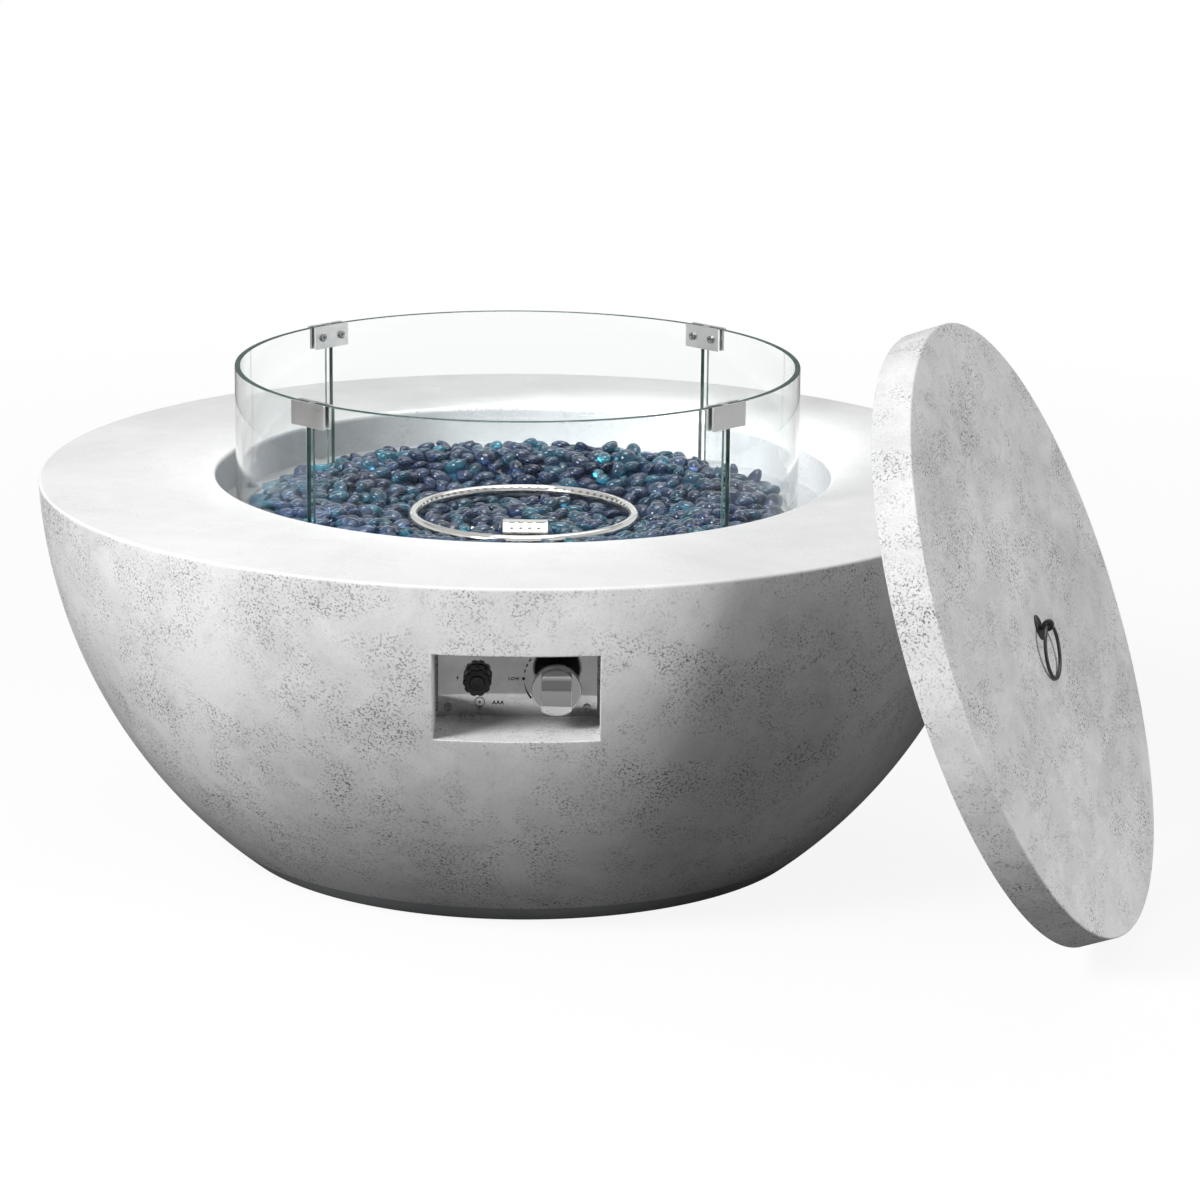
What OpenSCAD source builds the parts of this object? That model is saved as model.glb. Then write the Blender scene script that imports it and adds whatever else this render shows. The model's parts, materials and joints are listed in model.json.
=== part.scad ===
// Round concrete gas fire bowl with a lift-off glass wind guard and a lid that leans on its rim.
// Frame: origin at the middle of the bowl's base, +Z up, the control niche faces -Y.

/* [Bowl] */
// Outer diameter of the bowl at its rim
bowl_d = 1067; // [1040:1:1100]
// Height of the bowl from the floor to the deck
bowl_h = 417; // [405:1:440]
// Diameter of the flat base
base_d = 638; // [600:1:680]
// Radius of the arc that the bowl's side follows
side_arc_r = 561; // [520:1:700]
// Wall thickness of the bowl's side
wall_t = 16; // [12:0.5:22]
// Thickness of the deck around the fire opening
deck_t = 20; // [14:0.5:26]
// Thickness of the bowl's floor
floor_t = 18; // [12:0.5:24]
// Chamfer on the deck's outer and inner edges
edge_chamfer = 2; // [1:0.25:3]
// Diameter of the four vent holes in the floor
vent_d = 30; // [20:1:40]
// Distance of the vent holes from the middle of the floor
vent_pos_r = 200; // [170:1:230]

/* [Fire opening] */
// Diameter of the fire opening in the deck
opening_d = 681; // [676:1:700]
// Depth of the recess from the deck to the ledge
recess_depth = 44; // [43:0.5:52]
// Thickness of the wall around the recess
recess_wall_t = 16; // [12:0.5:22]
// Thickness of the ledge that carries the pan and the guard
ledge_t = 16; // [12:0.5:20]
// Gap between the hole that the pan hangs in and the glass, at its nearest
pan_side_gap = 5.7; // [5:0.1:8]
// Width of the rebate that holds the pan's flange
rebate_w = 8; // [6:0.5:9]
// Depth of the rebate
rebate_depth = 2.5; // [2:0.25:4]

/* [Control niche] */
// Width of the control niche
niche_w = 168; // [164:1:190]
// Height of the control niche
niche_h = 95; // [92:1:102]
// Distance from the deck down to the niche's ceiling
niche_drop = 72.5; // [72:0.5:80]
// Distance from the bowl's axis to the front of the control plate
plate_y = 410; // [400:1:418]
// Thickness of the niche's walls
niche_wall_t = 14; // [10:0.5:16]
// Thickness of the lip that the plate is screwed to
lip_t = 12; // [9:0.5:14]
// Width of the window behind the plate
window_w = 124; // [120:1:130]
// Height of the window behind the plate
window_h = 62; // [56:1:64]

/* [Control plate] */
// Thickness of the control plate
plate_t = 1.5; // [1:0.1:2.5]
// Gap between the plate's sides and the niche's walls
plate_side_gap = 2.5; // [1.5:0.1:4]
// Gap between the plate's lower and upper edges and the niche
plate_edge_gap = 1.5; // [1:0.1:3]
// Distance of the plate screws from the niche's sides
screw_inset_x = 13; // [11:0.5:15]
// Distance of the plate screws from the niche's floor and ceiling
screw_inset_z = 10.5; // [9:0.5:13]
// Radius of the plate screws' heads
screw_head_r = 4.2; // [3.5:0.1:5]
// Height of the plate screws' heads
screw_head_h = 2.6; // [2:0.1:3.5]
// Radius of the plate screws' shanks
screw_shank_r = 2; // [1.5:0.1:2.5]
// Length of the plate screws' shanks in the lip
screw_grip = 8; // [5:0.5:9]

/* [Gas valve and knob] */
// Distance of the knob's axis to the right of the middle
knob_x = 40; // [36:0.5:44]
// Height of the knob's and the igniter's axes above the niche's floor
controls_up = 41.5; // [39:0.5:44]
// Outer diameter of the knob's skirt
knob_d = 50.6; // [44:0.2:54]
// Distance from the plate's front to the back of the skirt
knob_standoff = 38; // [34:0.5:42]
// Thickness of the knob's skirt
knob_skirt_t = 8; // [5:0.5:10]
// Width of the knob's grip bar
grip_w = 31; // [20:0.5:34]
// Height of the grip bar in front of the skirt
grip_h = 17; // [12:0.5:22]
// How far the knob is pushed in before it turns
knob_travel = 5; // [3:0.5:6]
// Diameter of the valve stem
stem_d = 8; // [6:0.1:9]
// Depth of the flat on the valve stem
stem_flat = 1.2; // [0.8:0.1:1.8]
// Diameter of the valve's threaded neck
neck_d = 18; // [16:0.5:20]
// Length of the neck in front of the plate
neck_proud = 7; // [6:0.5:8]
// Width and height of the valve's block
valve_w = 34; // [31:0.5:40]
// Depth of the valve's block
valve_len = 28; // [26:0.5:34]
// Diameter of the turning plug inside the valve
plug_d = 14; // [12:0.5:16]
// Across flats of the nut on the valve's neck
valve_nut_af = 26; // [24:0.5:28]
// Thickness of the nut on the valve's neck
valve_nut_t = 4.5; // [3:0.5:5]

/* [Igniter] */
// Distance of the igniter's axis to the left of the middle
igniter_x = 41; // [37:0.5:44]
// Outer diameter of the igniter's cap
cap_d = 29.2; // [26:0.2:32]
// Height of the cap in front of the plate
cap_h = 20; // [18:0.5:24]
// Number of finger grooves around the cap
cap_grooves = 10; // [8:1:14]
// Diameter of the push button in the cap
button_d = 15; // [12:0.2:16]
// Travel of the push button
button_travel = 3; // [1:0.5:4]
// Diameter of the igniter's barrel
barrel_d = 22; // [20:0.5:24]
// Length of the barrel behind the plate
barrel_len = 60; // [56:1:70]
// Diameter of the battery
battery_d = 10.5; // [9:0.1:11]
// Length of the battery
battery_len = 44.5; // [40:0.5:46]
// Diameter of the igniter's front flange
igniter_flange_d = 26; // [25:0.5:28]
// Diameter of the spigot that the cap screws on
spigot_d = 16; // [14:0.5:18]

/* [Burner] */
// Diameter of the burner ring along the middle of its tube
ring_d = 245; // [230:1:250]
// Diameter of the burner tube
burner_tube_d = 12.7; // [11:0.1:14]
// Depth of the ring's middle below the deck
ring_drop = 51.5; // [48:0.5:54]
// Depth of the crossbar's middle below the ring's middle
crossbar_drop = 19.5; // [19:0.5:20.5]
// Diameter of the two risers that carry the ring
riser_d = 11; // [9:0.1:11.5]
// Diameter of the gas ports
port_d = 2.2; // [1.5:0.1:3]
// Angle of the ring's weld from +X, in degrees
ring_seam_angle = 47.5; // [45:2.5:50]
// Number of gas ports around the ring
port_count = 72; // [36:4:80]
// Depth of the pan from its flange to its floor
pan_depth = 42; // [41.5:0.1:44]
// Thickness of the pan's sheet
pan_t = 1.5; // [1:0.1:2]
// Diameter of the threaded nipple that feeds the burner
nipple_d = 21.3; // [19:0.1:22]
// Length of the nipple below the pan
nipple_len = 38; // [34:0.5:46]
// Diameter of the hub under the crossbar
hub_d = 34; // [30:0.5:38]
// Diameter of the drain holes in the pan's floor
drain_d = 8; // [6:0.5:10]
// Distance of the drain holes from the middle of the pan
drain_pos_r = 200; // [180:1:230]
// Across flats of the nuts on the nipple
nipple_nut_af = 30; // [28:0.5:32]
// Diameter of the air mixer
mixer_d = 28; // [26:0.5:32]
// Length of the air mixer
mixer_len = 48; // [46:0.5:56]

/* [Igniter shield] */
// Width of the shield over the electrode
shield_w = 48.6; // [42:0.2:54]
// Depth of the shield from front to back
shield_l = 32; // [28:0.5:36]
// Distance from the bowl's axis to the shield's front
shield_y = 104; // [98:0.5:108]
// Distance of the shield to the right of the middle
shield_x = 3; // [-6:0.5:6]
// Height of the shield above the pan's floor
shield_h = 47.5; // [45:0.5:52]
// Fall of the shield's sloping face
shield_fall = 6.5; // [5:0.5:10]
// Length of the sloping face, from front to back
shield_slope_l = 19; // [15:0.5:22]
// Thickness of the shield's sheet
shield_t = 1.2; // [0.8:0.1:1.6]
// Diameter of the holes in the sloping face
shield_hole_d = 3.6; // [2.5:0.1:4.5]
// Width of the feet of the shield
shield_foot_w = 12; // [10:0.5:14]
// Diameter of the electrode's ceramic sleeve
sleeve_d = 7; // [5:0.1:8]
// Diameter of the thermocouple's sheath
probe_d = 5; // [4:0.1:6]

/* [Fire glass] */
// Depth of the glass bed's middle below the deck
bed_mid_drop = 59; // [58.5:0.5:60.5]
// Depth of the glass bed's crest below the deck
bed_crest_drop = 29; // [27:0.5:34]
// Distance of the glass bed's crest from the edge of the pan's hole
bed_crest_in = 47; // [40:1:60]

/* [Wind guard] */
// Gap between the glass and the recess's wall, at its nearest
guard_wall_gap = 22.8; // [20:0.1:24]
// Height of the glass
guard_h = 164; // [140:1:200]
// Thickness of the glass
glass_t = 6; // [5:0.5:6]
// Gap between two panels
panel_gap = 9; // [8:0.5:12]
// How far the guard stands off the bowl's axis, towards -X
guard_off = 7; // [0:0.5:8]
// Turn of the guard about its middle, in degrees
guard_turn = 1.1; // [-5:0.1:5]
// Width of a clamp
clamp_w = 50; // [40:1:56]
// Height of a clamp
clamp_h = 26; // [20:0.5:30]
// Thickness of a clamp's plates
clamp_t = 3; // [2:0.25:3.5]
// Width of the web between a clamp's plates
clamp_web = 6; // [4:0.5:7]
// How far a clamp stands above the glass
clamp_proud = 0.5; // [0:0.1:2]
// Distance of a clamp's screws from its middle
clamp_screw_x = 14; // [10:0.5:17]
// Radius of the clamp screws' heads
clamp_head_r = 4.3; // [3.5:0.1:5]
// Height of the clamp screws' heads
clamp_head_h = 2.2; // [1.5:0.1:3]
// Radius of the clamp screws' shanks
clamp_shank_r = 2.5; // [2:0.1:3]

/* [Lid] */
// Gap around the lid when it lies in the recess
lid_side_gap = 9.5; // [5:0.5:20]
// How far the lid's face lies below the deck when it lies in the recess
lid_sink = 1; // [0.5:0.5:5]
// Thickness of the lid's concrete skin
lid_skin = 12; // [9:0.5:16]
// Thickness of the lid's back panel
lid_back_t = 6; // [4:0.5:10]
// Chamfer on the lid's front edge
lid_chamfer = 2.5; // [1:0.25:4]
// Lean of the lid from the vertical, in degrees
lid_lean = 20.7; // [18:0.1:24]
// Turn of the lid's face from +X towards the front, in degrees
lid_turn = 18.4; // [10:0.1:30]
// How far the lid stands to the front of its point on the rim
lid_shift = 134; // [100:1:160]

/* [Lid handle] */
// Diameter of the ring handle along the middle of its wire
handle_ring_d = 57; // [50:0.5:64]
// Diameter of the ring handle's wire
handle_wire_d = 3.8; // [3:0.1:4.2]
// Height of the eye's hole above the lid's face
eye_up = 11; // [9:0.25:14]
// Outer diameter of the eye
eye_d = 12; // [11:0.25:14]
// Width of the eye
eye_w = 6; // [5:0.25:6.5]
// Height of the leaf-shaped backplate
backplate_h = 28; // [26:0.5:34]
// Width of the leaf-shaped backplate
backplate_w = 20; // [18:0.5:24]
// Thickness of the backplate
backplate_t = 2.5; // [1.5:0.25:3.5]
// Diameter of the eye's bolt
eye_bolt_d = 6; // [5:0.1:7]

/* [Gas inlet] */
// Height of the gas inlet above the ground
inlet_z = 95; // [92:1:110]
// Depth of the inlet's pocket below the bowl's side
pocket_depth = 33.1; // [32:0.1:38]
// Diameter of the inlet's pocket
pocket_d = 52; // [46:1:56]
// Thickness of the wall behind the pocket
pocket_wall = 16; // [12:0.5:18]
// Outside diameter of the inlet's flare thread
flare_d = 15.88; // [12:0.01:16]
// Length of the flare thread
flare_len = 14; // [12:0.5:16]
// Diameter of the inlet's shank through the wall
inlet_shank_d = 18; // [16:0.5:20]

/* [Hoses and leads] */
// Diameter of the gas hoses inside the bowl
hose_d = 12; // [9:0.5:14]
// Across flats of the hose nuts
hose_nut_af = 19; // [18:0.5:22]
// Length of the hose nuts
hose_nut_len = 14; // [12:0.5:16]
// Diameter of the ignition wire
wire_d = 4; // [3:0.25:5]
// Diameter of the thermocouple's lead
lead_d = 3; // [2:0.25:3]

/* [Hidden] */
$fn = 96;
// Clearance of a shaft or a screw in its hole, at the radius
fit_gap = 0.05;
// Gap between curved faces that only lie near each other
near_gap = 0.3;
// Room for a loose part in its hole
loose_gap = 0.6;
// Overlap that keeps a cut from ending on a face
eps = 1;

PANELS = [["glass_front", -90], ["glass_right", 0], ["glass_back", 90], ["glass_left", 180]];
CLAMPS = [["clamp_front_left", -135], ["clamp_front_right", -45],
          ["clamp_back_right", 45], ["clamp_back_left", 135]];

// ---- derived values: bowl ----
bowl_r = bowl_d / 2;
base_r = base_d / 2;
opening_r = opening_d / 2;
ledge_z = bowl_h - recess_depth;
guard_r = opening_r - guard_off - guard_wall_gap;
glass_in_r = guard_r - glass_t;
pan_hole_r = glass_in_r - guard_off - pan_side_gap;
// the side's arc passes through the base's and the rim's edges
side_dx = bowl_r - base_r;
side_chord = norm([side_dx, bowl_h]);
side_off = sqrt(side_arc_r * side_arc_r - side_chord * side_chord / 4);
arc_x = (base_r + bowl_r) / 2 - side_off * bowl_h / side_chord;
arc_z = bowl_h / 2 + side_off * side_dx / side_chord;
function side_r(z) = arc_x + sqrt(side_arc_r * side_arc_r - (z - arc_z) * (z - arc_z));

// ---- derived values: niche and controls ----
lip_y = plate_y - plate_t;
lip_back_y = lip_y - lip_t;
niche_top_z = bowl_h - niche_drop;
niche_z = niche_top_z - niche_h;
axis_z = niche_z + controls_up;
window_z = axis_z;
plate_w = niche_w - 2 * plate_side_gap;
plate_h = niche_h - 2 * plate_edge_gap;
screw_x = niche_w / 2 - screw_inset_x;
screw_zs = [niche_z + screw_inset_z, niche_top_z - screw_inset_z];

knob_r = knob_d / 2;
skirt_back_y = plate_y + knob_standoff;
skirt_front_y = skirt_back_y + knob_skirt_t;
grip_front_y = skirt_front_y + grip_h;
grip_bulge_r = 45;
knob_wall = 2;
core_t = 4;
core_hub_r = 9;
stem_r = stem_d / 2;
neck_r = neck_d / 2;
neck_front_y = plate_y + neck_proud;
core_back_y = neck_front_y + knob_travel + 2;
stem_front_y = skirt_front_y - knob_wall - near_gap;
valve_front_y = lip_back_y - 1;
valve_back_y = valve_front_y - valve_len;
plug_front_y = valve_front_y + 6;
plug_len = valve_len - 2;
plug_wall = 3;
stem_back_y = plug_front_y - plug_len + plug_wall + knob_travel + 4;
valve_port_r = 7;
valve_port_len = 16;

cap_r = cap_d / 2;
barrel_r = barrel_d / 2;
spigot_r = spigot_d / 2;
igniter_flange_t = 2;
cap_back_y = plate_y + igniter_flange_t + near_gap;
cap_front_y = plate_y + cap_h;
cap_front_t = 3;
button_r = button_d / 2;
button_flange_r = button_r + 1.3;
button_flange_t = 1.3;
button_proud = 1.6;
cavity_r = button_flange_r + near_gap;
button_back_y = cap_front_y - cap_front_t - button_flange_t;
spigot_front_y = button_back_y - button_travel - 1;
battery_r = battery_d / 2;
battery_wall = 1.5;
barrel_back_y = lip_y - barrel_len;
igniter_nut_t = 5;
groove_r = 3;
groove_pos_r = cap_r + 1.7;

// ---- derived values: burner ----
ring_r = ring_d / 2;
tube_r = burner_tube_d / 2;
ring_z = bowl_h - ring_drop;
crossbar_z = ring_z - crossbar_drop;
pan_wall_gap = 2.5;
pan_out_r = pan_hole_r - pan_wall_gap;
pan_in_r = pan_out_r - pan_t;
flange_z = ledge_z - rebate_depth;
pan_top_z = flange_z + pan_t;
pan_floor_z = pan_top_z - pan_depth;
pan_under_z = pan_floor_z - pan_t;
nipple_r = nipple_d / 2;
nipple_bottom_z = pan_under_z - nipple_len;
hub_bottom_z = pan_floor_z + 6;
hub_top_z = crossbar_z + tube_r + 2;
riser_r = riser_d / 2;
crossbar_end = ring_r + tube_r + 1;
nipple_nut_t = 5.7;
mixer_r = mixer_d / 2;
mixer_cover = 10;
mixer_top_z = nipple_bottom_z + mixer_cover;
mixer_bottom_z = mixer_top_z - mixer_len;
mixer_port_z = mixer_bottom_z + 10;
mixer_port_len = 20;
air_hole_r = 4;

// ---- derived values: shield, electrode and thermocouple ----
shield_front_y = -shield_y;
shield_back_y = shield_front_y + shield_l;
shield_top_z = pan_floor_z + shield_h;
shield_ridge_y = shield_front_y + shield_slope_l;
probe_y = shield_front_y + shield_l / 2 + 2;
sleeve_x = shield_x - 10;
probe_x = shield_x + 10;
sleeve_r = sleeve_d / 2;
probe_r = probe_d / 2;
probe_bottom_z = pan_under_z - 12;
collar_t = 3;
sleeve_top_z = shield_top_z - 14;
electrode_top_z = shield_top_z - 5;
foot_screw_x = shield_w / 2 + shield_foot_w / 2;

// ---- derived values: fire glass ----
bed_mid_z = bowl_h - bed_mid_drop;
bed_crest_z = bowl_h - bed_crest_drop;
bed_crest_r = pan_hole_r - bed_crest_in;
bed_slope_w = 40;
bed_top_w = 25;
bed_under_ring_z = ring_z - tube_r - near_gap;
bed_edge_r = pan_hole_r + 3;
bed_edge_z = ledge_z + 2;
bed_rise_r = ring_r + tube_r + 14;
// the bed's top, as radius and height
BED = [[0, bed_mid_z], [ring_r - tube_r - 9, bed_mid_z],
       [ring_r - tube_r - 1, bed_under_ring_z], [ring_r + tube_r + 1, bed_under_ring_z],
       [bed_rise_r, bed_under_ring_z + 3], [bed_crest_r - bed_slope_w, bed_crest_z - 7],
       [bed_crest_r, bed_crest_z], [bed_crest_r + bed_top_w, bed_crest_z - 2],
       [bed_edge_r, bed_edge_z]];

// ---- derived values: wind guard ----
guard_top_z = ledge_z + guard_h;
panel_half = asin(panel_gap / 2 / glass_in_r);
clamp_out_d = guard_r + near_gap;
clamp_in_d = sqrt(glass_in_r * glass_in_r - clamp_w * clamp_w / 4) - near_gap;
clamp_z = guard_top_z + clamp_proud - clamp_h / 2;
pad_r = 4.5;
pad_t = 0.5;

// ---- derived values: lid ----
lid_r = opening_r - lid_side_gap;
lid_t = recess_depth - lid_sink;
lid_back_z = lid_r * cos(lid_lean);
rim_reach = side_r(bowl_h - edge_chamfer) * cos(lid_lean)
          + (bowl_h - edge_chamfer) * sin(lid_lean) + near_gap;
lid_dist = (rim_reach - lid_back_z * sin(lid_lean)) / cos(lid_lean);
lid_pos = [lid_dist * cos(lid_turn) - lid_shift * sin(lid_turn),
           -lid_dist * sin(lid_turn) - lid_shift * cos(lid_turn), lid_back_z];
core_z = lid_back_t + near_gap;
handle_ring_r = handle_ring_d / 2;
wire_r = handle_wire_d / 2;
eye_z = lid_t + eye_up;
eye_bore_r = wire_r + loose_gap;
ring_hang = asin((eye_up - wire_r - near_gap) / handle_ring_d);
bolt_r = eye_bolt_d / 2;
nut_pocket_r = 12;
nut_pocket_depth = 9;
washer_t = 1.5;
washer_r = 9;
handle_nut_t = 5;

// ---- derived values: gas inlet and hoses ----
flare_r = flare_d / 2;
inlet_shank_r = inlet_shank_d / 2;
inlet_y = side_r(inlet_z) - pocket_depth;
inlet_flange_t = 6;
inlet_flange_af = 27;
boss_r = pocket_d / 2 + 14;
boss_back_y = inlet_y - pocket_wall;
locknut_t = 7;
tail_len = 16;
tail_r = 7;
tail_end_y = boss_back_y - locknut_t - tail_len;
hose_r = hose_d / 2;
nut_cover = 10;
hose_rings = 14;
lead_rings = 20;
// how far each hose and lead runs towards the guide points of its bends
burner_hose_guide = 110;
inlet_drop_guide = 90;
floor_guide = 120;
valve_rise_guide = 140;
wire_guide = 150;
wire_rise_guide = 46;
lead_guide = 130;
lead_rise_guide = 36;
// how far in front of its start the inlet hose reaches the floor, and leaves it behind the valve
inlet_hose_fall = 155;
inlet_hose_rise = 150;

// ---- shapes that repeat ----
// cylinder from the plane y = -y0 towards the front, as far as y = -y1
module along_front(x, z, y0, y1, r) {
    translate([x, -y0, z]) rotate([90, 0, 0]) cylinder(r = r, h = y1 - y0);
}
module hex_front(x, z, y0, y1, af) {
    translate([x, -y0, z]) rotate([90, 0, 0]) cylinder(r = af / sqrt(3), h = y1 - y0, $fn = 6);
}
module box_at(x0, x1, y0, y1, z0, z1) {
    translate([x0, y0, z0]) cube([x1 - x0, y1 - y0, z1 - z0]);
}
// cubic curve through two ends with two guide points
function curve_at(c, t) = pow(1 - t, 3) * c[0] + 3 * pow(1 - t, 2) * t * c[1]
                        + 3 * (1 - t) * t * t * c[2] + pow(t, 3) * c[3];
function curve_points(c, n, skip = 0) = [for (i = [skip:n]) curve_at(c, i / n)];
function unit(v) = v / norm(v);
// tube of n sides around a line of points; its first and last faces are square to the end tangents
module tube(path, r, n, first, last) {
    m = len(path);
    ring = [for (i = [0:m - 1])
        let (t = unit(i == 0 ? first : i == m - 1 ? last : path[i + 1] - path[i - 1]),
             u = unit([1, 0, 0] - t[0] * t), v = cross(t, u))
        for (k = [0:n - 1]) path[i] + r * (cos(360 * k / n) * u + sin(360 * k / n) * v)];
    sides = [for (i = [0:m - 2], k = [0:n - 1])
        let (a = i * n + k, b = i * n + (k + 1) % n)
        each [[a, a + n, b], [b, a + n, b + n]]];
    polyhedron(ring, concat([[for (k = [0:n - 1]) k]], sides,
                            [[for (k = [0:n - 1]) (m - 1) * n + n - 1 - k]]));
}

// ---- bowl ----
module bowl_outline() {
    difference() {
        intersection() {
            translate([arc_x, arc_z]) circle(r = side_arc_r);
            square([bowl_r + eps, bowl_h]);
        }
        translate([side_r(bowl_h - edge_chamfer), bowl_h]) rotate(45)
            square(edge_chamfer * sqrt(2), center = true);
    }
}
module bowl_cavity_outline() {
    intersection() {
        translate([arc_x, arc_z]) circle(r = side_arc_r - wall_t);
        union() {
            translate([0, floor_t]) square([bowl_r, ledge_z - ledge_t - floor_t]);
            translate([opening_r + recess_wall_t, floor_t])
                square([bowl_r, bowl_h - deck_t - floor_t]);
        }
    }
}
module opening_outline() {
    translate([0, ledge_z]) square([opening_r, recess_depth + eps]);
    translate([0, ledge_z - ledge_t - eps]) square([pan_hole_r, ledge_t + 2 * eps]);
    translate([0, flange_z]) square([pan_hole_r + rebate_w, rebate_depth + eps]);
    translate([opening_r, bowl_h]) rotate(45) square(edge_chamfer * sqrt(2), center = true);
}
module bowl_shell() {
    color([0.80, 0.80, 0.80]) difference() {
        union() {
            rotate_extrude() difference() {
                bowl_outline();
                bowl_cavity_outline();
            }
            intersection() {
                rotate_extrude() bowl_outline();
                union() {
                    box_at(-niche_w / 2 - niche_wall_t, niche_w / 2 + niche_wall_t,
                           -bowl_r, -lip_back_y,
                           niche_z - niche_wall_t, niche_top_z + niche_wall_t);
                    translate([0, boss_back_y, inlet_z]) rotate([-90, 0, 0])
                        cylinder(r = boss_r, h = bowl_r - boss_back_y);
                }
            }
        }
        rotate_extrude() opening_outline();
        box_at(-niche_w / 2, niche_w / 2, -bowl_r - eps, -lip_y, niche_z, niche_top_z);
        box_at(-window_w / 2, window_w / 2, -lip_y - eps, -lip_back_y + eps,
               window_z - window_h / 2, window_z + window_h / 2);
        for (sx = [-1, 1], z = screw_zs)
            along_front(sx * screw_x, z, lip_y - screw_grip - 1, lip_y + eps,
                        screw_shank_r + fit_gap);
        translate([0, inlet_y, inlet_z]) rotate([-90, 0, 0])
            cylinder(r = pocket_d / 2, h = bowl_r - inlet_y);
        translate([0, boss_back_y - eps, inlet_z]) rotate([-90, 0, 0])
            cylinder(r = inlet_shank_r + fit_gap, h = pocket_wall + 2 * eps);
        for (a = [45:90:315])
            rotate(a) translate([vent_pos_r, 0, -eps]) cylinder(d = vent_d, h = floor_t + 2 * eps);
    }
}

// ---- burner ----
module burner_pan() {
    color([0.72, 0.72, 0.72]) difference() {
        rotate_extrude() difference() {
            union() {
                translate([0, pan_under_z]) square([pan_out_r, pan_top_z - pan_under_z]);
                translate([0, flange_z])
                    square([pan_hole_r + rebate_w - near_gap, pan_t]);
            }
            translate([0, pan_floor_z]) square([pan_in_r, pan_depth + eps]);
        }
        translate([0, 0, pan_under_z - eps]) {
            cylinder(r = nipple_r + near_gap, h = pan_t + 2 * eps);
            translate([sleeve_x, probe_y, 0]) cylinder(r = sleeve_r + near_gap, h = pan_t + 2 * eps);
            translate([probe_x, probe_y, 0]) cylinder(r = probe_r + near_gap, h = pan_t + 2 * eps);
            for (sx = [-1, 1])
                translate([shield_x + sx * foot_screw_x, probe_y, 0])
                    cylinder(r = screw_shank_r + fit_gap, h = pan_t + 2 * eps);
            for (a = [22.5:45:360])
                rotate(a) translate([drain_pos_r, 0, 0]) cylinder(d = drain_d, h = pan_t + 2 * eps);
        }
    }
}
module ring_burner() {
    color([0.85, 0.85, 0.85]) difference() {
        union() {
            translate([0, 0, ring_z]) rotate(ring_seam_angle)
                rotate_extrude() translate([ring_r, 0]) circle(r = tube_r);
            for (sx = [-1, 1])
                translate([sx * ring_r, 0, crossbar_z]) cylinder(r = riser_r, h = crossbar_drop);
            translate([-crossbar_end, 0, crossbar_z]) rotate([0, 90, 0])
                cylinder(r = tube_r, h = 2 * crossbar_end);
            translate([0, 0, hub_bottom_z]) cylinder(d = hub_d, h = hub_top_z - hub_bottom_z);
        }
        translate([0, 0, hub_bottom_z - eps]) cylinder(r = nipple_r - 3, h = 8 + eps);
        for (i = [0:port_count - 1])
            rotate((i + 0.5) * 360 / port_count) translate([ring_r, 0, ring_z])
                rotate([0, -55, 0]) translate([0, 0, tube_r - 3]) cylinder(d = port_d, h = 6, $fn = 16);
    }
}
module burner_nipple() {
    color([0.75, 0.62, 0.35]) difference() {
        translate([0, 0, nipple_bottom_z])
            cylinder(r = nipple_r, h = hub_bottom_z - nipple_bottom_z);
        translate([0, 0, nipple_bottom_z - eps])
            cylinder(r = nipple_r - 3, h = hub_bottom_z - nipple_bottom_z + 2 * eps);
    }
}
module nipple_nuts() {
    color([0.7, 0.7, 0.68]) for (z = [pan_floor_z, pan_under_z - nipple_nut_t])
        difference() {
            translate([0, 0, z]) cylinder(r = nipple_nut_af / sqrt(3), h = nipple_nut_t, $fn = 6);
            translate([0, 0, z - eps])
                cylinder(r = nipple_r + fit_gap, h = nipple_nut_t + 2 * eps);
        }
}
module air_mixer() {
    color([0.75, 0.62, 0.35]) difference() {
        union() {
            translate([0, 0, mixer_bottom_z]) cylinder(r = mixer_r, h = mixer_len);
            along_front(0, mixer_port_z, 0, mixer_r + mixer_port_len, valve_port_r);
        }
        translate([0, 0, nipple_bottom_z]) cylinder(r = nipple_r + fit_gap, h = mixer_cover + eps);
        translate([0, 0, mixer_port_z]) cylinder(r = nipple_r - 3, h = mixer_len);
        for (a = [0, 180])
            rotate(a) translate([0, 0, nipple_bottom_z - 10]) rotate([0, 90, 0])
                cylinder(r = air_hole_r, h = mixer_r + eps);
    }
}

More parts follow.
